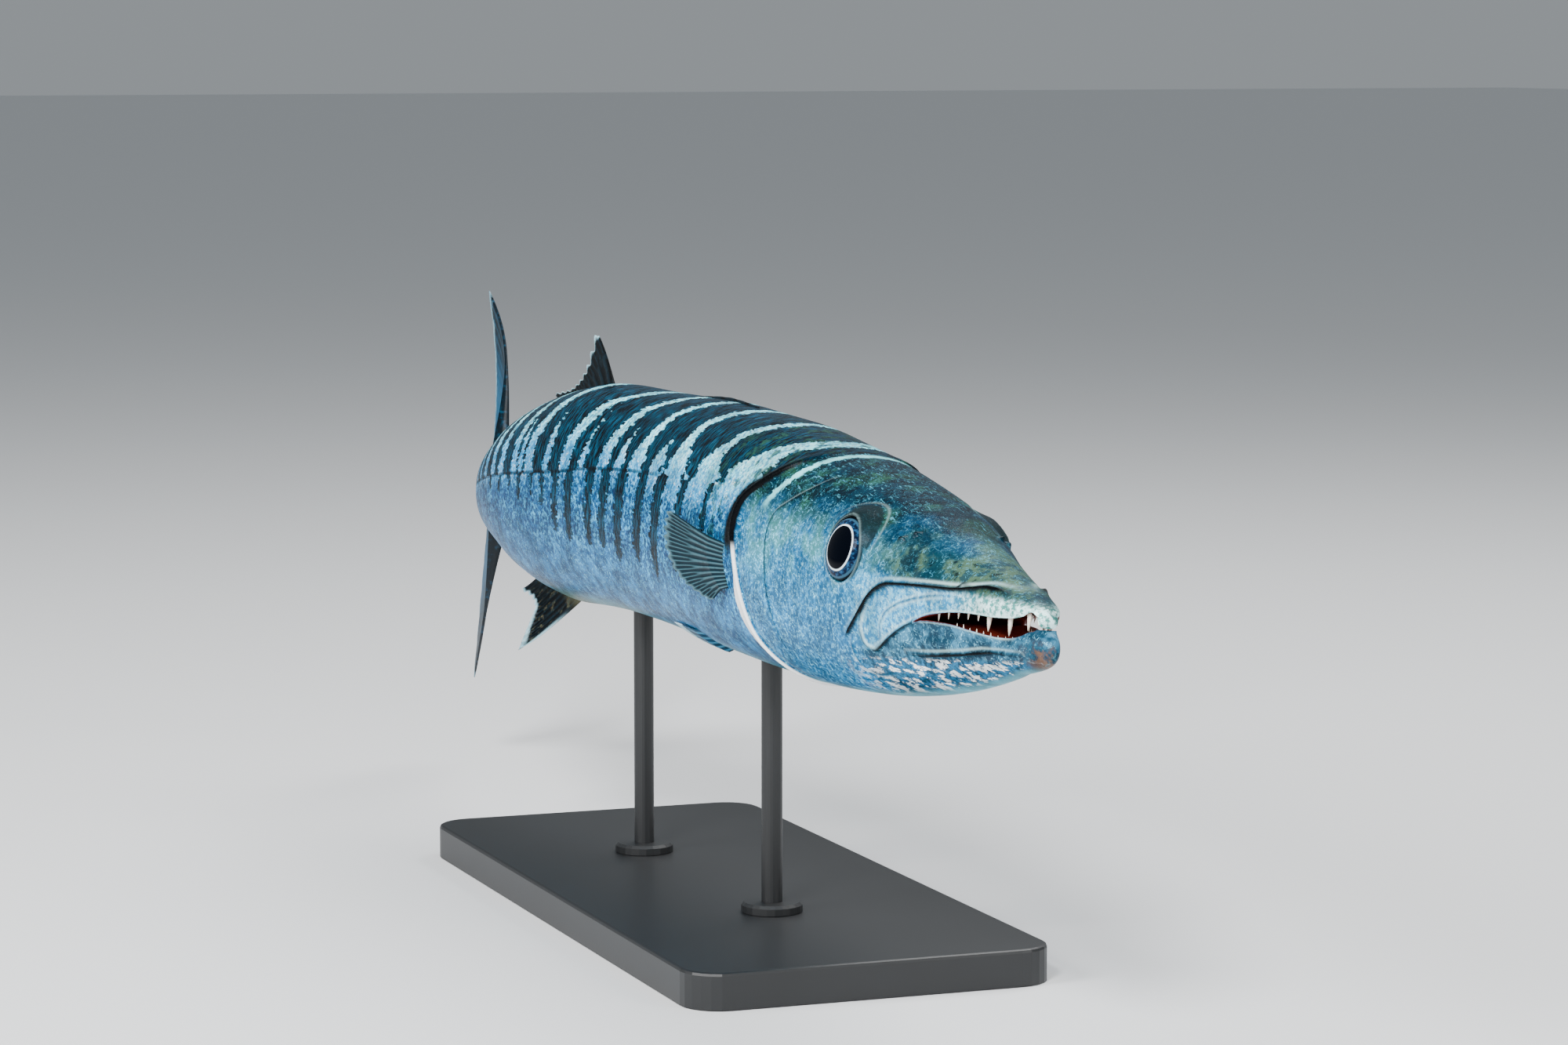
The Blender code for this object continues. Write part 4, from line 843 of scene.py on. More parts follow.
skinRecipe = {
    # sum, away: a number, then values with their weights; away drops the sum's sign
    # mask: the most that it reaches, then values, each with where it starts and where it is full
    # coats: the ground, then each coat's mask and colour; shaded: the ground, then what dims it
    "swirlAway": ("away", -0.5, ("swirl", 1.0)),
    "lineAway": ("away", 0.0, ("lateralRise", 1.0)),
    "streakAway": ("away", -0.3135, ("back", 1.0), ("height", 0.75)),
    "stripAway": ("away", 0.040, ("height", 1.0)),
    # fine curled lines, where a swirled noise passes its middle: painted glints, the broken gloss of small
    # scales
    "curlGlint": ("mask", 1.0, ("swirlAway", 0.030, 0.006), ("speckle", 0.42, 0.56)),
    "glintClear": ("sum", 0.0, ("curlGlint", 0.80)),
    "glintSoft": ("sum", 0.0, ("curlGlint", 0.60)),
    "speck": ("mask", 1.0, ("speckle", 0.38, 0.62)),
    "spots": ("mask", 1.0, ("speckle", 0.40, 0.60)),
    # painted glints on the rims and cells of small scales
    "rimGlint": ("mask", 1.0, ("rims", 0.16, 0.03), ("speckle", 0.40, 0.60)),
    "glint": ("mask", 1.0, ("cellShade", 0.45, 0.95), ("speckle", 0.42, 0.60)),
    "rough": ("sum", -5.6, ("speckle", 9.0), ("cellShade", 2.2)),

    # the pale ground, from the back over the flank to the belly, with painted glints
    "flankGloss": ("sum", 0.0, ("glint", 0.75), ("curlGlint", 0.75)),
    "flankPaint": ("coats", "flankDark", ("speck", "flank"), ("flankGloss", "flankGlint")),
    "bellyMottle": ("mask", 1.0, ("mottle", 0.36, 0.66)),
    "bellyPaint": ("coats", "belly", ("bellyMottle", "bellyLight"), ("glintClear", "blueGlint")),
    "groundRise": ("mask", 1.0, ("heightShare", 0.25, 0.75)),
    "groundSpeckle": ("mask", 0.70, ("speckle", 0.56, 0.40)),
    "groundPaint": ("coats", "paleStripeLow", ("groundRise", "paleStripe"), ("groundSpeckle", "flank"),
                    ("glintClear", "membrane")),
    "low": ("sum", -0.125, ("heightShare", 1.0), ("cloud", 0.25)),
    "onBelly": ("mask", 1.0, ("low", -0.25, -0.80)),
    "rearShade": ("mask", 0.35, ("back", 0.50, 0.80)),
    "onUnderside": ("mask", 1.0, ("heightShare", -0.86, -1.0)),
    # on the shoulder the pale ground runs 12 mm further down
    "shoulderDrop": ("mask", 12.0, ("back", 0.56, 0.40)),
    "groundDepth": ("sum", 0.0, ("lateralRise", 1.0), ("rough", 0.8), ("shoulderDrop", 1.0)),
    "onGround": ("mask", 1.0, ("groundDepth", -9.0, 5.0)),
    "hairSheen": ("mask", 0.85, ("hair", 0.44, 0.62)),
    "barPaint": ("coats", "bar", ("hairSheen", "barSheen")),
    "barEdge": ("sum", -6.0, ("barDepth", 1.0), ("dash", 12.0), ("rough", 0.45)),
    "onBar": ("mask", 1.0, ("barEdge", -0.6, 0.7)),
    # the shoulder behind the gill is mottled dark olive
    "shoulderMottle": ("sum", 0.0, ("mottle", 1.0), ("rough", 0.01)),
    "onShoulder": ("mask", 0.85, ("back", 0.430, 0.350), ("height", -0.020, 0.004),
                   ("shoulderMottle", 0.50, 0.60)),
    "shoulderPaint": ("coats", "headDark", ("speck", "headOlive")),
    "onLine": ("mask", 0.75, ("lineAway", 1.7, 0.5), ("back", 0.42, 0.52)),
    "onVent": ("mask", 0.8, ("heightShare", -0.80, -0.97), ("back", 0.665, 0.70), ("back", 0.745, 0.72)),
    "bodyPaint": ("coats", "flankPaint", ("onBelly", "bellyPaint"), ("rearShade", "flankDark"),
                  ("onUnderside", "underside"), ("onGround", "groundPaint"), ("onBar", "barPaint"),
                  ("onShoulder", "shoulderPaint"), ("onLine", "bar"), ("onVent", "vent")),

    # head: olive and steel-blue above, silver-blue on the cheeks, with painted glints
    "cheekSpeck": ("mask", 0.8, ("speckle", 0.38, 0.62)),
    "cheekMottle": ("mask", 0.45, ("mottle", 0.56, 0.38)),
    "cheekOlive": ("mask", 0.75, ("cloud", 0.42, 0.60), ("height", -0.030, 0.016)),
    "cheekGloss": ("sum", 0.0, ("curlGlint", 0.90), ("rimGlint", 0.315)),
    "cheekPaint": ("coats", "cheekDark", ("cheekSpeck", "cheek"), ("cheekMottle", "cheekDark"),
                   ("cheekOlive", "lip"), ("cheekGloss", "blueGlint")),
    "crownCloud": ("mask", 1.0, ("cloud", 0.46, 0.64)),
    "crownDash": ("mask", 1.0, ("dash", 0.48, 0.62), ("back", 0.15, 0.24)),
    "crownMottle": ("mask", 0.7, ("mottle", 0.56, 0.42)),
    "crownGlintFleck": ("mask", 1.0, ("dash", 0.60, 0.70)),
    "crownGloss": ("sum", 0.0, ("curlGlint", 0.42), ("crownGlintFleck", 0.60)),
    "crownPaint": ("coats", "headTop", ("crownCloud", "headOlive"), ("crownDash", "headDark"),
                   ("crownMottle", "headDark"), ("crownGloss", "headGlint")),
    "crownHeight": ("sum", -0.020, ("height", 1.0), ("cloud", 0.040)),
    "onCrown": ("mask", 1.0, ("crownHeight", 0.012, 0.038)),
    "snoutCloud": ("sum", 0.0, ("cloud", 1.0), ("rough", 0.03)),
    "snoutPale": ("mask", 1.0, ("snoutCloud", 0.44, 0.58)),
    "snoutTop": ("mask", 0.80, ("mottle", 0.46, 0.58)),
    "snoutDark": ("mask", 0.80, ("mottle", 0.40, 0.32)),
    "snoutGloss": ("sum", 0.0, ("curlGlint", 0.65)),
    "snoutPaint": ("coats", "snout", ("snoutPale", "snoutLight"), ("snoutTop", "headTop"),
                   ("snoutDark", "headDark"), ("snoutGloss", "headGlint")),
    "onSnout": ("mask", 1.0, ("back", 0.175, 0.11), ("height", 0.036, 0.016)),
    # a darker patch round the nostrils
    "patchMottle": ("sum", 0.0, ("mottle", 1.0), ("rough", 0.03)),
    "onPatch": ("mask", 0.75, ("back", 0.095, 0.120), ("back", 0.165, 0.140), ("height", 0.002, 0.014),
                ("patchMottle", 0.42, 0.56)),
    "lipPaint": ("coats", "lip", ("spots", "lipPaleAndHighlight")),
    "lipPlace": ("sum", -0.020, ("back", 1.0), ("cloud", 0.040)),
    "towardsTip": ("mask", 1.0, ("lipPlace", 0.085, 0.035)),
    "upperJawPaint": ("coats", "plate", ("spots", "plateLight"), ("towardsTip", "lipPaint"),
                      ("glintSoft", "lipPaleAndHighlight")),
    "jawMottle": ("sum", 0.0, ("mottle", 1.0), ("rough", 0.02)),
    "jawPale": ("mask", 1.0, ("jawMottle", 0.42, 0.62)),
    "lowerJawPaint": ("coats", "jawDark", ("jawPale", "jawLight"), ("glintSoft", "blueGlint")),
    "belowGape": ("mask", 1.0, ("gapeRise", 0.8, -0.8)),
    "jawPaint": ("coats", "upperJawPaint", ("belowGape", "lowerJawPaint")),
    "onJaws": ("mask", 1.0, ("back", 0.175, 0.150), ("height", 0.006, 0.001)),
    # pale scratches below the chin's groove, and a brown tip
    "groove": ("sum", 0.0, ("height", 1.0), ("back", 0.120)),
    "onChin": ("mask", 1.0, ("back", 0.20, 0.13), ("groove", -0.0245, -0.0275)),
    "chinCover": ("sum", 0.0, ("onChin", 0.80)),
    "chinPaint": ("coats", "jawDark", ("speck", "plate")),
    "onScratch": ("mask", "onChin", ("scratches", 0.53, 0.57)),
    "headUnderside": ("mask", 1.0, ("heightShare", -0.93, -1.0)),
    "tip": ("mask", 1.0, ("back", 0.015, -0.003), ("height", -0.012, -0.020)),
    "tipSpeckle": ("mask", "tip", ("speckle", 0.30, 0.50)),
    "tipCover": ("sum", 0.0, ("tip", 0.5), ("tipSpeckle", 0.45)),
    "tipMottle": ("mask", 1.0, ("mottle", 0.44, 0.56)),
    "tipPaint": ("coats", "chinTip", ("tipMottle", "headTop")),
    # the pale streak that runs over the gill cover
    "streakEdge": ("sum", 0.0, ("streakAway", 1.0), ("rough", 0.0009)),
    "onStreak": ("mask", 0.85, ("streakEdge", 0.0050, 0.0022), ("height", 0.022, 0.034)),
    "headPaint": ("coats", "cheekPaint", ("onCrown", "crownPaint"), ("onSnout", "snoutPaint"),
                  ("onPatch", "headDark"), ("onJaws", "jawPaint"), ("chinCover", "chinPaint"),
                  ("onScratch", "scratch"), ("headUnderside", "underside"), ("tipCover", "tipPaint"),
                  ("onStreak", "paleStripe")),

    "bodyEdge": ("sum", 0.0, ("gillSide", 1.0), ("rough", 0.05)),
    "onBody": ("mask", 1.0, ("bodyEdge", -0.3, 0.3)),
    "wholePaint": ("coats", "headPaint", ("onBody", "bodyPaint")),
    # broad uneven patches, as silver skin has, and partly painted patchy light and shade
    "cloudPale": ("mask", 0.37, ("cloud", 0.38, 0.62)),
    "cloudShade": ("sum", 0.78, ("cloudPale", 1.0)),
    "mottlePale": ("mask", 0.28, ("mottle", 0.40, 0.62)),
    "mottleShade": ("sum", 0.84, ("mottlePale", 1.0)),
    "shadedPaint": ("shaded", "wholePaint", ("cloudShade",), ("mottleShade",)),
    # gill opening: painted shade in the slit above, pale membrane below, each with its width in millimetres
    "slitWidth": ("mask", 17.0, ("height", 0.066, 0.018)),
    "pastSlit": ("sum", -1.0, ("gillSide", 1.0), ("slitWidth", -1.0), ("rough", -0.7)),
    "onSlitShade": ("mask", 1.0, ("gillSide", -0.6, 0.4), ("pastSlit", 3.0, -3.0), ("height", -0.010, 0.0),
               ("height", 0.062, 0.046)),
    "stripWidth": ("mask", 10.8, ("stripAway", 0.032, 0.004)),
    "pastStrip": ("sum", -1.2, ("gillSide", 1.0), ("stripWidth", -1.0)),
    "onStrip": ("mask", 1.0, ("gillSide", -0.3, 0.3), ("pastStrip", 0.8, -0.4), ("height", 0.002, -0.006)),
    # painted shade in the eye's recess, darkest where it is deepest
    "orbitFade": ("mask", 1.0, ("orbitShade", 0.95, 0.25)),
    "orbitShadePaint": ("coats", "orbitShadeNear", ("orbitFade", "orbitShadeFar")),
    "inOrbitShade": ("mask", 0.92, ("orbitShade", 0.05, 0.35)),
    "mouthEdge": ("mask", 0.9, ("back", 0.016, 0.002)),
    "mouthPaint": ("coats", "mouth", ("mouthEdge", "mouthFront")),
    "inMouth": ("mask", 1.0, ("lining", 0.25, 0.9)),
    # painted shade in the eye's recess, the gill slit and the creases, and painted highlights on the rims
    "skinPaint": ("coats", "shadedPaint", ("inOrbitShade", "orbitShadePaint"), ("onSlitShade", "slit"),
                  ("onStrip", "membrane"), ("paintedRimHighlight", "lipPaleAndHighlight"), ("paintedCreaseShade", "slit"),
                  ("inMouth", "mouthPaint")),

    # the flank is a little metallic, the dark marks are not, and the fine relief breaks the gloss
    "metal": ("mask", 0.08, ("barDepth", 1.0, -1.5), ("lining", 0.5, 0.1)),
    "dullness": ("mask", 0.19, ("grain", 0.3, 0.7)),
    "gloss": ("sum", 0.27, ("dullness", 1.0)),
    "rimRise": ("mask", 0.5, ("rims", 0.0, 0.16)),
    "relief": ("sum", 0.0, ("rimRise", 1.0), ("grain", 0.6)),
}


def mixPaints(tree, found, recipe):
    # works through a recipe; each line may use what was found before it and the lines above it
    for name, (kind, first, *steps) in recipe.items():
        mixed = found.get(first, first)
        for key, *rest in steps:
            value, rest = found[key], [found.get(part, part) for part in rest]
            if kind == "mask":
                sockets = {0: value, 1: rest[0], 2: rest[1], 4: mixed}
                mixed = addNode(tree, "MapRange", sockets, interpolation_type="SMOOTHSTEP").outputs[0]
            elif kind == "coats":
                sockets = {0: value, 6: mixed, 7: rest[0]}
                mixed = addNode(tree, "Mix", sockets, data_type="RGBA").outputs[2]
            elif kind == "shaded":
                sockets = {0: 1.0, 6: mixed, 7: value}
                mixed = addNode(tree, "Mix", sockets, data_type="RGBA", blend_type="MULTIPLY").outputs[2]
            else:
                sockets = {0: value, 1: rest[0], 2: mixed}
                mixed = addNode(tree, "Math", sockets, operation="MULTIPLY_ADD").outputs[0]
        if kind == "away":
            mixed = addNode(tree, "Math", {0: mixed}, operation="ABSOLUTE").outputs[0]
        found[name] = mixed


def varnishedFishSkin():
    # painted resin under a thin satin varnish: deep pigments with a low, even gloss
    made, tree, shader = newMaterial("varnished_fish_skin", {
        "Roughness": 0.34, "IOR": 1.45, "Specular IOR Level": 0.06, "Coat Weight": 0.03,
        "Coat Roughness": 0.10,
    })
    found = {name: linear(value) for name, value in skinColours.items()}
    for name in ("around", "lining", "paintedCreaseShade", "paintedRimHighlight", "orbitShade", "gillSide", "heightShare",
                 "barDepth", "lateralRise", "gapeRise"):
        found[name] = addNode(tree, "Attribute", attribute_name=name).outputs["Fac"]
    straight = addNode(tree, "Attribute", attribute_name="straight").outputs["Vector"]
    found["back"], _, found["height"] = addNode(tree, "SeparateXYZ", {0: straight}).outputs
    # skin coordinates: along the fish, and round it, both in metres
    flat = addNode(tree, "CombineXYZ", {0: found["back"], 1: found["around"], 2: 0.0}).outputs[0]
    for name, detail, roughness, distortion in (("speckle", 3.0, 0.66, 0.0), ("grain", 2.0, 0.6, 0.0),
                                                ("cloud", 3.0, 0.55, 0.0), ("mottle", 4.0, 0.6, 0.0),
                                                ("swirl", 2.0, 0.5, 1.4)):
        found[name] = addNode(tree, "TexNoise", {
            "Vector": straight, "Scale": skinPattern[name], "Detail": detail, "Roughness": roughness,
            "Distortion": distortion}).outputs["Fac"]
    for name, place, detail, roughness in (("dash", flat, 2.0, 0.5), ("hair", flat, 3.0, 0.6),
                                           ("scratches", straight, 4.0, 0.7)):
        stretched = addNode(tree, "Mapping", {"Vector": place, "Scale": skinPattern[name]}).outputs[0]
        found[name] = addNode(tree, "TexNoise", {
            "Vector": stretched, "Scale": 1.0, "Detail": detail, "Roughness": roughness}).outputs["Fac"]
    scales = {"Vector": flat, "Scale": skinPattern["scale"], "Randomness": 0.85}
    cells = addNode(tree, "TexVoronoi", scales, voronoi_dimensions="2D")
    found["cellShade"] = addNode(tree, "SeparateColor", {0: cells.outputs["Color"]}).outputs[0]
    found["rims"] = addNode(tree, "TexVoronoi", scales, voronoi_dimensions="2D",
                            feature="DISTANCE_TO_EDGE").outputs["Distance"]
    mixPaints(tree, found, skinRecipe)
    bump = addNode(tree, "Bump", {"Strength": 0.35, "Distance": 0.00035, "Height": found["relief"]})
    tree.links.new(found["skinPaint"], shader.inputs["Base Color"])
    tree.links.new(found["metal"], shader.inputs["Metallic"])
    tree.links.new(found["gloss"], shader.inputs["Roughness"])
    tree.links.new(bump.outputs[0], shader.inputs["Normal"])
    return made


placePiece("skin", finishSkin(), varnishedFishSkin(), "skin", "head", "lower_jaw", "torso", "tail")
print("stage: skin")


# Teeth: fangs near the front of the upper jaw, and rows of small ones
toothForm = {
    # distance back, length and width
    "fangs": (
        (0.0046, 0.0076, 0.0028), (0.0108, 0.008, 0.0034), (0.0243, 0.0096, 0.004),
        (0.041, 0.0088, 0.0042),
    ),
    # rows of small ones: first, last, step, length, width; the lower ones' length follows from the gape
    "small": (0.0500, 0.0880, 0.0090, 0.0036, 0.0022),
    "lower": (0.0120, 0.0780, 0.0060, 0.0018),
    "chinUntil": 0.034,  # ahead of this they stand on the chin
    "lipWidth": 0.0042,
    "sides": 16,
    "seed": 7,
    "ivory": "#EFE9DA",
    "ivoryRoot": "#CDB79A",
}


def toothMesh(root, tip, width, leans):
    # a flattened cone that bows a little forward, with its base sunk in the gum
    root, tip = np.array(root), np.array(tip)
    way = tip - root
    forward = np.array([1.0, 0, 0])
    other = np.cross(way, forward)
    other /= np.linalg.norm(other)
    rings = []
    angles = np.linspace(0, 2 * math.pi, toothForm["sides"], endpoint=False)
    for share in np.concatenate([np.linspace(0, 0.9, 9), [0.95, 0.98, 1.0]]):
        size = (1 - share**2.6) ** 0.85 * 0.97 + 0.03 * (share < 1)
        middle = root + way * share + forward * leans * math.sin(math.pi * share)
        spokes = [forward * math.cos(a) + other * 0.62 * math.sin(a) for a in angles]
        rings.append([middle + spoke * width / 2 * size for spoke in spokes])
    rings = np.array(rings)
    closed = np.concatenate([rings, rings[:, :1]], 1)
    cap = np.repeat(root[None, None], closed.shape[1], 1)
    return np.concatenate([cap, closed], 0)


def finishTeeth():
    draw = np.random.default_rng(toothForm["seed"])
    grids = []
    first, last, step, length, width = toothForm["small"]
    smallOnes = [(s, length, width) for s in np.arange(first, last, step)]
    lip = toothForm["lipWidth"]
    for side in (1, -1):
        for s, long, wide in (*toothForm["fangs"], *smallOnes):
            middle, half = (float(v) for v in readCurve(fishForm["gape"], s))
            room = 2 * half + fishForm["mouthHollow"] * 0.5
            long = min(long * draw.uniform(0.92, 1.08), room * 0.80)
            y = float(sideWidth(s, middle + half)) - lip * 0.80
            edge = middle + half
            root = (-s, side * y, edge + min(0.0040, 0.0010 + s / 8))
            tip = (-s - 0.0012, side * (y - 0.0006), edge - long)
            grids.append(toothMesh(root, tip, wide * draw.uniform(0.92, 1.08), 0.0004))
        first, last, step, wide = toothForm["lower"]
        for s in np.arange(first, last, step):
            middle, half = (float(v) for v in readCurve(fishForm["gape"], s))
            jawWidth = float(sideWidth(s, middle))
            if s < toothForm["chinUntil"]:
                jawWidth = max(jawWidth, float(readCurve(fishForm["chinSections"], s)[0]))
            y = jawWidth - lip * 1.3
            edge = middle - half
            root = (-s, side * y, edge - 0.0060)
            tip = (-s - 0.0006, side * y, edge + 0.0008 * draw.uniform(-0.4, 1))
            grids.append(toothMesh(root, tip, wide * draw.uniform(0.9, 1.1), 0.0002))
    points, faces, count = [], [], 0
    for grid in grids:
        rows, columns = grid.shape[:2]
        points.append(grid.reshape(-1, 3))
        faces.append(gridFaces(rows, columns, count))
        count += rows * columns
    mesh, _ = meshFrom("teeth", np.concatenate(points), np.concatenate(faces))
    bend(mesh)
    fixNormals(mesh)
    return mesh


def fixNormals(mesh):
    form = bmesh.new()
    form.from_mesh(mesh)
    bmesh.ops.recalc_face_normals(form, faces=form.faces)
    form.to_mesh(mesh)
    form.free()
    mesh.shade_smooth()


def toothIvory():
    # enamel over ivory, cast in resin: glossy, with warmer stains
    made, tree, shader = newMaterial("tooth_enamel", {
        "Roughness": 0.22, "IOR": 1.62, "Subsurface Weight": 0.15, "Subsurface Scale": 0.002,
    })
    place = addNode(tree, "NewGeometry").outputs["Position"]
    # stains 4 mm across, and growth lines 1 mm apart
    stain = addNode(tree, "TexNoise", {"Vector": place, "Scale": 260.0, "Detail": 3.0}).outputs["Fac"]
    cover = addNode(tree, "MapRange", {0: stain, 1: 0.45, 2: 0.75, 4: 0.6}).outputs[0]
    ivory, warmer = linear(toothForm["ivory"]), linear(toothForm["ivoryRoot"])
    tone = addNode(tree, "Mix", {0: cover, 6: ivory, 7: warmer}, data_type="RGBA")
    tree.links.new(tone.outputs[2], shader.inputs["Base Color"])
    grooves = addNode(tree, "TexNoise", {"Vector": place, "Scale": 900.0, "Detail": 2.0}).outputs["Fac"]
    bump = addNode(tree, "Bump", {"Strength": 0.15, "Distance": 0.0002, "Height": grooves})
    tree.links.new(bump.outputs[0], shader.inputs["Normal"])
    return made


placePiece("teeth", finishTeeth(), toothIvory(), "skin")
print("stage: teeth")


# Eyes: a domed glass eye with a pear-shaped pupil in a silver ring
irisColours = {
    "pupil": "#02040A",
    "ring": "#D5E6EE",
    "iris": "#081428",
    "irisLight": "#27567E",
    "rim": "#2E5268",
    "outer": "#0A141B",
}

irisRecipe = {
    # the pupil is drawn out ahead, so its distance shrinks on that side
    "fromPupil": ("sum", 0.0, ("fromOval", 1.0), ("ahead", -0.10)),
    "onFibres": ("mask", 1.0, ("fibres", 0.45, 0.70)),
    "irisPaint": ("coats", "iris", ("onFibres", "irisLight")),
    "pastPupil": ("mask", 1.0, ("fromPupil", 0.585, 0.605)),
    "pastRing": ("mask", 1.0, ("fromPupil", 0.625, 0.655)),
    "pastIris": ("mask", 1.0, ("fromMiddle", 0.865, 0.90)),
    "pastRim": ("mask", 1.0, ("fromMiddle", 0.925, 0.95)),
    "eyePaint": ("coats", "pupil", ("pastPupil", "ring"), ("pastRing", "irisPaint"), ("pastIris", "rim"),
                 ("pastRim", "outer")),
}


def glassEye():
    # painted disc under clear cast glass: dark, with a sharp wet highlight
    made, tree, shader = newMaterial("glass_eye", {
        "Roughness": 0.05, "IOR": 1.34, "Specular IOR Level": 0.10,
    })
    found = {name: linear(value) for name, value in irisColours.items()}
    place = addNode(tree, "Attribute", attribute_name="eyePlace").outputs["Vector"]
    across = addNode(tree, "SeparateXYZ", {0: place}).outputs[0]
    oval = addNode(tree, "VectorMath", {0: place, 1: (1.05, 0.88, 0.0)}, operation="MULTIPLY").outputs[0]
    found["ahead"] = addNode(tree, "Math", {0: across, 1: 0.0}, operation="MAXIMUM").outputs[0]
    for name, value in (("fromMiddle", place), ("fromOval", oval)):
        found[name] = addNode(tree, "VectorMath", {0: value}, operation="LENGTH").outputs["Value"]
    fibres = addNode(tree, "TexNoise", {"Vector": place, "Scale": 9.0, "Detail": 5.0, "Roughness": 0.6})
    found["fibres"] = fibres.outputs["Fac"]
    mixPaints(tree, found, irisRecipe)
    tree.links.new(found["eyePaint"], shader.inputs["Base Color"])
    return made


def finishEye(side, word, material):
    middle, axis = eyeFrame(side)
    rings, around = 48, 96
    share = np.linspace(0, 1, rings)
    turn = np.linspace(0, 2 * math.pi, around + 1)
    angle = share * math.pi * 0.62
    radius = eyeForm["radius"] * np.sin(angle)
    height = eyeForm["depth"] * np.cos(angle)
    forward = Vector((1, 0, 0)) - axis * axis.x
    forward.normalize()
    upward = axis.cross(forward) * -side
    upward = upward if upward.z > 0 else -upward
    spokes = np.cos(turn)[None, :, None] * np.array(forward) + np.sin(turn)[None, :, None] * np.array(upward)
    grid = np.array(middle) + radius[:, None, None] * spokes + height[:, None, None] * np.array(axis)
    disc = (radius / eyeForm["radius"])[:, None] * np.ones(around + 1)
    flat = np.stack([disc * np.cos(turn), disc * np.sin(turn), 0 * disc], -1)
    mesh, first = meshFrom("eye", grid, gridFaces(rings, around + 1))
    setPointValues(mesh, "eyePlace", flat.reshape(-1, 3)[first])
    bend(mesh)
    fixNormals(mesh)
    placePiece(f"glass_eye_{word}", mesh, material, "eye", f"eye_{word}")


glass = glassEye()
for eyeSide, eyeWord in ((1, "left"), (-1, "right")):
    finishEye(eyeSide, eyeWord, glass)
print("stage: eyes")


# Fins: thin membranes with raised, branching rays
finPlan = {
    "perRay": 8,
    "steps": 72,
    "branchFrom": 0.50,
}

finTones = {
    "dark": {"membrane": "#020507", "ray": "#0A1A22", "tip": "#9CC4D0", "root": "#102A36"},
    "ventral": {"membrane": "#020507", "ray": "#0A1A22", "tip": "#9CC4D0", "root": "#8A8768"},
    "tail": {"membrane": "#04121A", "ray": "#123A4E", "tip": "#8FB8C8", "root": "#1C5E82"},
    "grey": {"membrane": "#0A1F28", "ray": "#3A5C66", "tip": "#4C6E78", "root": "#030607"},
    "belly": {"membrane": "#0E3A54", "ray": "#3C86AC", "tip": "#B8E0EC", "root": "#2A7CA8"},
}


def rayShape(v, u, rays):
    # 1 on the crest of a ray, 0 between; each ray parts in two towards the tip
    single = (0.5 - 0.5 * np.cos(2 * math.pi * v * rays)) ** 1.6
    double = (0.5 - 0.5 * np.cos(4 * math.pi * v * rays)) ** 1.6
    share = smooth(finPlan["branchFrom"], finPlan["branchFrom"] + 0.25, u)
    return single * (1 - share) + double * share * 0.8


def finMesh(name, shapeAt, rays, thicknessWay, thick, edge=None):
    # two skins of one grid, set apart along thicknessWay and closed round the rim
    root, membrane, ridge = thick
    v = np.linspace(0, 1, finPlan["perRay"] * rays + 1)
    u = np.linspace(0, 1, finPlan["steps"])
    grid = np.stack([shapeAt(part, v) for part in u])
    crest = rayShape(v[None, :], u[:, None], rays)
    base = membrane + (root - membrane) * np.clip(1 - u[:, None] * 2.2, 0, 1) ** 1.5
    joints = 1 - 0.18 * (0.5 + 0.5 * np.cos(2 * math.pi * u[:, None] * 26)) * smooth(0.3, 0.5, u)[:, None]
    thick = base + ridge * crest * (1 - 0.72 * u[:, None]) * joints
    thick = thick * (1 - 0.55 * smooth(0.93, 1.0, u))[:, None]
    if edge is not None:
        thick = thick + edge(u[:, None], v[None, :])
    way = thicknessWay(u, v) * thick[..., None]
    rows, columns = grid.shape[:2]
    total = rows * columns
    faces = [gridFaces(rows, columns), gridFaces(rows, columns, total, flip=True)]
    index = np.arange(total).reshape(rows, columns)
    rim = np.concatenate([index[:, 0], index[-1, 1:], index[-2::-1, -1], index[0, -2::-1]])
    faces.append(np.stack([rim[1:], rim[:-1], rim[:-1] + total, rim[1:] + total], 1))
    both = np.concatenate([(grid + way).reshape(-1, 3), (grid - way).reshape(-1, 3)])
    mesh, first = meshFrom(name, both, np.concatenate(faces))
    spread = [np.broadcast_to(a, (rows, columns)).reshape(-1) for a in (u[:, None], v[None, :], crest)]
    values = np.stack([np.concatenate([a, a]) for a in spread], 1)
    setPointValues(mesh, "finPlace", values[first])
    bend(mesh)
    fixNormals(mesh)
    return mesh


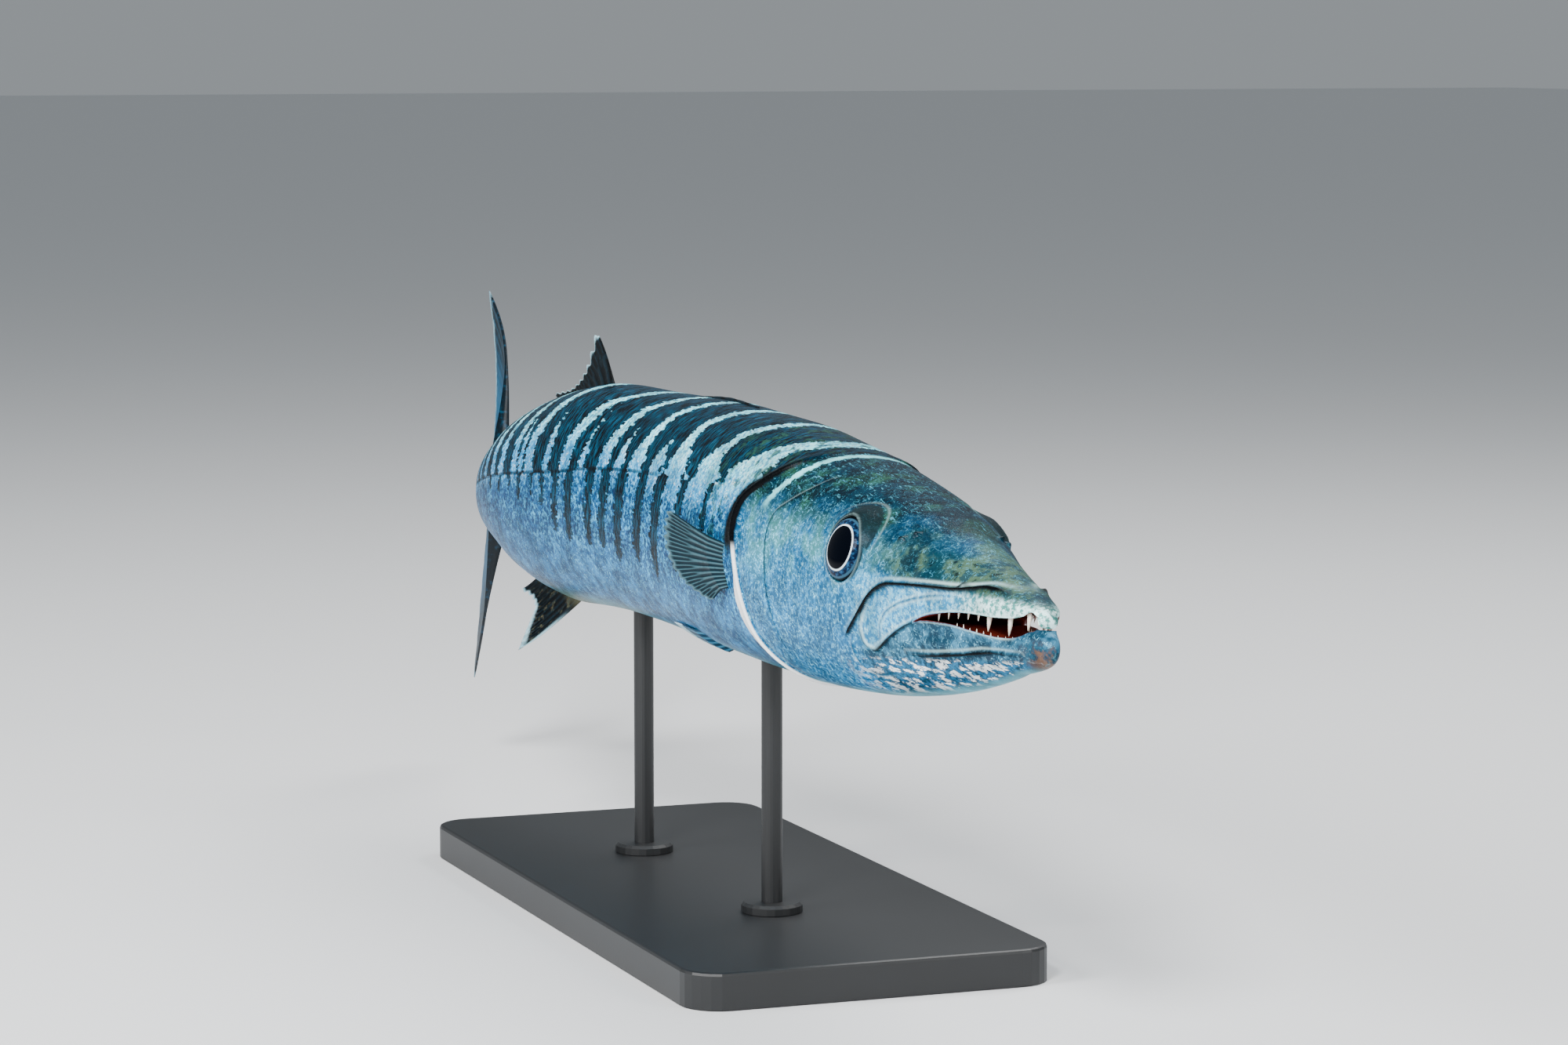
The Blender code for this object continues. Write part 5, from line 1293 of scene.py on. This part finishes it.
def finMembrane(name, tones, tipFrom, streak=0.0, fleshyRoot=0.0, paleEdge=0.0):
    # stiff membrane over bony rays, varnished; the rays catch the light
    made, tree, shader = newMaterial(name, {
        "Roughness": 0.42, "IOR": 1.45, "Specular IOR Level": 0.12, "Coat Weight": 0.04,
        "Coat Roughness": 0.15, "Subsurface Weight": 0.10, "Subsurface Scale": 0.002,
    })
    found = {part: linear(value) for part, value in tones.items()}
    place = addNode(tree, "Attribute", attribute_name="finPlace").outputs["Vector"]
    found["u"], found["v"], found["crest"] = addNode(tree, "SeparateXYZ", {0: place}).outputs
    position = addNode(tree, "NewGeometry").outputs["Position"]
    # mottling 6 mm across, and a grain of about 1 mm in the relief
    mottle = addNode(tree, "TexNoise", {"Vector": position, "Scale": 160.0, "Detail": 4.0, "Roughness": 0.6})
    found["mottle"] = mottle.outputs["Fac"]
    recipe = {"onRay": ("mask", 1.0, ("crest", 0.25, 0.8)), "mottled": ("mask", 0.35, ("mottle", 0.50, 0.72))}
    coats = [("onRay", "ray"), ("mottled", "root")]
    if fleshyRoot:
        recipe["onRoot"] = ("mask", 0.9, ("u", fleshyRoot, 0.0))
        coats.append(("onRoot", "root"))
    if streak:
        recipe["onStreak"] = ("mask", 0.75, ("v", streak - 0.35, streak), ("v", streak + 0.35, streak))
        coats.append(("onStreak", "root"))
    if paleEdge:
        recipe["onEdge"] = ("mask", 1.0, ("v", paleEdge, 0.0), ("u", 0.25, 0.7))
        coats.append(("onEdge", "tip"))
    recipe["tipPlace"] = ("sum", 0.0, ("u", 1.0), ("mottle", 0.12))
    recipe["onTip"] = ("mask", 1.0, ("tipPlace", tipFrom, min(tipFrom + 0.10, 1.08)))
    recipe["finPaint"] = ("coats", "membrane", *coats, ("onTip", "tip"))
    mixPaints(tree, found, recipe)
    tree.links.new(found["finPaint"], shader.inputs["Base Color"])
    fine = addNode(tree, "TexNoise", {"Vector": position, "Scale": 900.0, "Detail": 2.0})
    bump = addNode(tree, "Bump", {"Strength": 0.25, "Distance": 0.0002, "Height": fine.outputs["Fac"]})
    tree.links.new(bump.outputs[0], shader.inputs["Normal"])
    return made


def fixedWay(x, y, z):
    return lambda u, v: np.broadcast_to(np.array([x, y, z], float), (len(u), len(v), 3))


def raggedEnd(v, rays, depth):
    # the membrane's rear edge dips between the rays
    return 1 - depth * (0.5 + 0.5 * np.cos(2 * math.pi * v * rays))


uprightFins = {
    # reach and back: how far the fin's edge stands up and lies back, at five places along its base
    "soft_dorsal_fin": {
        "node": "dorsal_fin_second",
        "rays": 10,
        "base": (0.686, 0.776),
        "reach": (0.0385, 0.0160, 0.0075, 0.0058, 0.0085),
        "back": (0.0400, 0.0300, 0.0210, 0.0180, 0.0220),
        "flex": 0.04,
        "notch": 0.12,
        "thick": (0.0016, 0.00026, 0.00040),  # at the root, of the membrane and of the rays' ridges
    },
    "vent_fin": {
        "node": "anal_fin",
        "rays": 9,
        "base": (0.722, 0.806),
        "reach": (0.0370, 0.0280, 0.0150, 0.0105, 0.0105),
        "back": (0.0640, 0.0480, 0.0300, 0.0220, 0.0240),
        "flex": -0.36,
        "notch": 0.10,
        "thick": (0.0016, 0.00026, 0.00040),
    },
}


def uprightFin(name, upper, material):
    plan = uprightFins[name]
    sink, bowed = 0.006, 0.10
    sign = 1 if upper else -1
    places = np.linspace(*plan["base"], 5)
    base = [(s, edgeHeight(s, upper) - sign * sink) for s in places]
    tips = [(s + b, z + sign * (sink + r)) for (s, z), b, r in zip(base, plan["back"], plan["reach"])]

    def shapeAt(part, v):
        baseS, baseZ = readRows(base, v)
        tipS, tipZ = readRows(tips, v)
        end = 1 - (1 - raggedEnd(v, plan["rays"], plan["notch"])) * part**6
        bow = bowed * math.sin(math.pi * part)
        x = -(baseS + (tipS - baseS) * part * end) + bow * (tipZ - baseZ)
        y = plan["flex"] * part**1.6 * np.hypot(tipS - baseS, tipZ - baseZ)
        return np.stack([x, y, baseZ + (tipZ - baseZ) * part * end], -1)

    mesh = finMesh(name, shapeAt, plan["rays"], fixedWay(0, 1, 0), plan["thick"])
    placePiece(name, mesh, material, "fin", plan["node"])


tailForm = {
    "rays": 8,
    # distance back and half the height, at the root and at the lobes' tips
    "root": (0.988, 0.0318),
    "tip": (1.166, 0.149),
    "fork": 1.062,
    "sideBow": 0.0078,  # of the upper lobe
    "thick": (0.0050, 0.00033, 0.0006),
}


def tailLobe(word, up, material):
    rays, forkS, sideBow = tailForm["rays"], tailForm["fork"], tailForm["sideBow"]
    rootS, rootHalf = tailForm["root"]
    tipS, tipHalf = tailForm["tip"]

    def shapeAt(part, v):
        endS = forkS + (tipS - forkS) * v**1.25 + 0.006 * bell(v, 0.16)
        endS = rootS + (endS - rootS) * (1 - (1 - raggedEnd(v, rays, 0.03)) * part**6)
        endZ = tipHalf * (0.30 * v + 0.70 * v**1.5)
        spread = part + 0.10 * math.sin(math.pi * part)
        height = rootHalf * v + (endZ - rootHalf * v) * spread
        bow = (v if up > 0 else 0 * v) * sideBow
        y = bow * (np.sin(math.pi * v) * part + math.sin(math.pi * part))
        return np.stack([-(rootS + (endS - rootS) * part), y, up * height], -1)

    def edge(u, v):
        return bell(1 - v, 0.10) * 0.0011 * (1 - 0.75 * u)

    mesh = finMesh("tail_lobe", shapeAt, rays, fixedWay(0, 1, 0), tailForm["thick"], edge)
    placePiece(f"tail_fin_{word}", mesh, material, "fin", f"caudal_fin_{word}")


breastFin = {
    "rays": 12,
    "base": ((0.3265, -0.0030), (0.3290, -0.0150), (0.3325, -0.0265)),  # distance back and height
    # from the top ray to the bottom one: its length, and how far it points up, in radians
    "lengths": (0.088, 0.090, 0.087, 0.076, 0.058, 0.037, 0.018),
    "lifts": (0.15, 0.09, 0.01, -0.09, -0.20, -0.34, -0.60),
    "thick": (0.0013, 0.00026, 0.00040),
}


def pectoralFin(word, side, material):
    rays = breastFin["rays"]

    def shapeAt(part, v):
        baseS, baseZ = readRows(breastFin["base"], v)
        length = readRows(breastFin["lengths"], v) * (1 - (1 - raggedEnd(v, rays, 0.06)) * part**5)
        lift = readRows(breastFin["lifts"], v)
        s = baseS + length * part * np.cos(lift * (0.6 + 0.4 * part))
        z = baseZ + length * part * np.sin(lift * (0.6 + 0.4 * part))
        outward = -0.004 + 0.0065 * min(part * 3.0, 1.0) + length * (0.05 * part + 0.06 * part**2)
        return np.stack([-s, side * (sideWidth(baseS, baseZ) + outward), z], -1)

    mesh = finMesh("pectoral", shapeAt, rays, fixedWay(0, 1, 0), breastFin["thick"])
    placePiece(f"breast_fin_{word}", mesh, material, "fin", f"pectoral_fin_{word}")


bellyFin = {
    "rays": 5,
    "root": 0.418,  # distance back
    "lengths": (0.066, 0.044),  # of the outer and of the inner ray
    "turns": (0.62, 0.86),  # how far round towards the belly's middle, in quarters of a turn
    "thick": (0.0010, 0.00026, 0.00030),
}


def pelvicFin(word, side, material):
    turnFrom, turnTo = bellyFin["turns"]
    outer, inner = bellyFin["lengths"]

    def angleAndOut(part, v):
        spread = 0.35 + 0.65 * math.sin(math.pi * min(part * 0.5 + 0.2, 0.72))
        s = bellyFin["root"] + (outer + (inner - outer) * v) * part
        width, _, bottom = readCurve(fishForm["sections"], s)
        angle = (turnFrom + (turnTo - turnFrom) * (0.5 + (v - 0.5) * spread)) * math.pi / 2
        out = np.stack([0 * v, np.cos(angle) / width, np.sin(angle) / bottom], -1)
        out /= np.linalg.norm(out, axis=-1)[..., None]
        return s, width, bottom, angle, out

    def shapeAt(part, v):
        s, width, bottom, angle, out = angleAndOut(part, v)
        lift = -0.0022 + 0.0052 * min(part * 2.5, 1.0)
        place = np.stack([-s, width * np.cos(angle), bottom * np.sin(angle)], -1) + out * lift
        return place * (1, side, 1)

    def way(u, v):
        return np.stack([angleAndOut(float(part), v)[4] * (1, side, 1) for part in u])

    mesh = finMesh("pelvic", shapeAt, bellyFin["rays"], way, bellyFin["thick"])
    placePiece(f"belly_fin_{word}", mesh, material, "fin", f"pelvic_fin_{word}")


spinyFin = {
    "from": 0.462,
    "to": 0.560,
    "spines": 5,
    "halfWidth": 1.4 * mm,
    "height": 2.0 * mm,
}


def foldedFin(material):
    # spines laid back in the groove of the back
    stations = np.linspace(spinyFin["from"], spinyFin["to"], 90)
    share = np.linspace(0, 1, 90)
    top = readCurve(fishForm["sections"], stations)[1]
    half = spinyFin["halfWidth"] * np.sin(math.pi * np.minimum(share + 0.06, 0.97)) ** 0.5
    front = np.sin(math.pi * np.minimum(share * 0.5 + 0.12, 0.5))
    rise = spinyFin["height"] * (1 - 0.45 * share) * front * (1.02 - share**6)
    rise = rise * (1 + 0.16 * np.abs(np.sin(math.pi * share * spinyFin["spines"])))
    turn = np.linspace(0, 2 * math.pi, 33)
    across = np.sign(np.cos(turn)) * np.abs(np.cos(turn)) ** 0.8
    upward = np.sin(turn)
    grid = np.zeros((len(stations), len(turn), 3))
    grid[..., 0] = -stations[:, None]
    grid[..., 1] = half[:, None] * across
    grid[..., 2] = top[:, None] + np.where(upward > 0, rise[:, None], 0.003) * upward
    grid = np.concatenate([grid[:1].mean(axis=1, keepdims=True).repeat(len(turn), 1), grid,
                           grid[-1:].mean(axis=1, keepdims=True).repeat(len(turn), 1)])
    mesh, first = meshFrom("folded", grid, gridFaces(len(grid), len(turn)))
    place = np.zeros((len(grid), len(turn), 3))
    place[..., 0] = 0.4
    crest = np.abs(np.sin(spinyFin["spines"] * math.pi * np.linspace(0, 1, len(grid))))
    place[..., 2] = crest[:, None]
    setPointValues(mesh, "finPlace", place.reshape(-1, 3)[first])
    bend(mesh)
    fixNormals(mesh)
    placePiece("spiny_fin_folded", mesh, material, "fin", "dorsal_fin_first")


darkFin = finMembrane("dark_fin_membrane", finTones["dark"], 0.96)
tailFin = finMembrane("tail_fin_membrane", finTones["tail"], 0.97, streak=0.55)
ventralFin = finMembrane("anal_fin_membrane", finTones["ventral"], 0.94, fleshyRoot=0.30, paleEdge=0.07)
greyFin = finMembrane("grey_fin_membrane", finTones["grey"], 0.97, fleshyRoot=0.10)
paleFin = finMembrane("pale_fin_membrane", finTones["belly"], 0.75)
uprightFin("soft_dorsal_fin", True, darkFin)
uprightFin("vent_fin", False, ventralFin)
foldedFin(darkFin)
for lobeWord, lobeUp in (("upper", 1), ("lower", -1)):
    tailLobe(lobeWord, lobeUp, tailFin)
for finWord, finSide in (("left", 1), ("right", -1)):
    pectoralFin(finWord, finSide, greyFin)
    pelvicFin(finWord, finSide, paleFin)
print("stage: fins")


# Stand: the solids keep their shape and take a finish
standFinish = {
    "paint": "#0C0D0E",
    "paintDust": "#151719",
    "paintRoughness": 0.50,
}


def satinBlackPaint():
    # sprayed satin lacquer on fibreboard and steel: an even dark skin with a faint orange peel
    made, tree, shader = newMaterial("satin_black_lacquer", {
        "Roughness": standFinish["paintRoughness"], "IOR": 1.50, "Coat Weight": 0.15, "Coat Roughness": 0.3,
    })
    place = addNode(tree, "NewGeometry").outputs["Position"]
    # clouds of dust 45 mm across, and orange peel of 2 mm
    dust = addNode(tree, "TexNoise", {"Vector": place, "Scale": 22.0, "Detail": 4.0}).outputs["Fac"]
    black, dusty = linear(standFinish["paint"]), linear(standFinish["paintDust"])
    tone = addNode(tree, "Mix", {0: dust, 6: black, 7: dusty}, data_type="RGBA")
    tree.links.new(tone.outputs[2], shader.inputs["Base Color"])
    peel = addNode(tree, "TexNoise", {"Vector": place, "Scale": 450.0, "Detail": 1.0})
    bump = addNode(tree, "Bump", {"Strength": 0.12, "Distance": 0.0002, "Height": peel.outputs["Fac"]})
    tree.links.new(bump.outputs[0], shader.inputs["Normal"])
    return made


def paintNode(name, material):
    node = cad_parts[name]
    node.data.materials.clear()
    node.data.materials.append(material)


lacquer = satinBlackPaint()
for standName in ("stand_base", "stand_rod_front", "stand_rod_rear"):
    paintNode(standName, lacquer)
print("stage: stand")


# Floor, lights and camera
studio = {
    "floor": "#E4E5E6",
    "world": "#DCE4EA",
    "worldStrength": 0.40,
    "lights": (  # place, size, power in watts
        ((2.3, -1.7, 2.5), 0.9, 185.0),
        ((0.6, -2.6, 1.7), 1.2, 80.0),
        ((-0.7, 1.2, 2.5), 1.8, 60.0),
        ((2.4, 1.7, 1.2), 1.2, 25.0),
    ),
    "aim": (0.15, -0.05, 0.26),
}

photoCamera = {
    "place": (2.6413, -0.9512, 0.5632),
    "forward": (-0.9303, 0.3498, -0.1105),
    "up": (-0.1034, 0.0389, 0.9939),
    "focalPixels": 5690.8,
    "imageWidth": 2000,
    "sensor": 36.0,
}


def makeFloor():
    bpy.ops.mesh.primitive_plane_add(size=40, location=(-14, 0, -0.0005))
    floor = bpy.context.object
    floor.name = "floor"
    made = newMaterial("pale_studio_floor", {"Roughness": 0.75, "Base Color": linear(studio["floor"])})[0]
    floor.data.materials.append(made)


def makeLights():
    for k, (place, size, power) in enumerate(studio["lights"]):
        lamp = bpy.data.lights.new(f"softbox_{k}", "AREA")
        lamp.shape = "DISK"
        lamp.size = size
        lamp.energy = power
        holder = bpy.data.objects.new(f"softbox_{k}", lamp)
        holder.location = place
        holder.rotation_euler = (Vector(studio["aim"]) - Vector(place)).to_track_quat("-Z", "Y").to_euler()
        bpy.context.scene.collection.objects.link(holder)
    world = bpy.data.worlds.new("studio")
    world.use_nodes = True
    sky = world.node_tree.nodes["Background"]
    sky.inputs[0].default_value = linear(studio["world"])
    sky.inputs[1].default_value = studio["worldStrength"]
    bpy.context.scene.world = world


def makeCamera():
    lens = bpy.data.cameras.new("photo_view")
    lens.sensor_width = photoCamera["sensor"]
    lens.lens = photoCamera["sensor"] * photoCamera["focalPixels"] / photoCamera["imageWidth"]
    lens.clip_start = 0.05
    lens.clip_end = 60
    holder = bpy.data.objects.new("photo_view", lens)
    forward = Vector(photoCamera["forward"]).normalized()
    right = forward.cross(Vector(photoCamera["up"])).normalized()
    turned = Matrix((right, right.cross(forward), -forward)).transposed().to_4x4()
    turned.translation = Vector(photoCamera["place"])
    bpy.context.scene.collection.objects.link(holder)
    holder.matrix_world = turned
    bpy.context.scene.camera = holder


makeFloor()
makeLights()
makeCamera()
print("stage: studio")

bpy.context.view_layer.update()
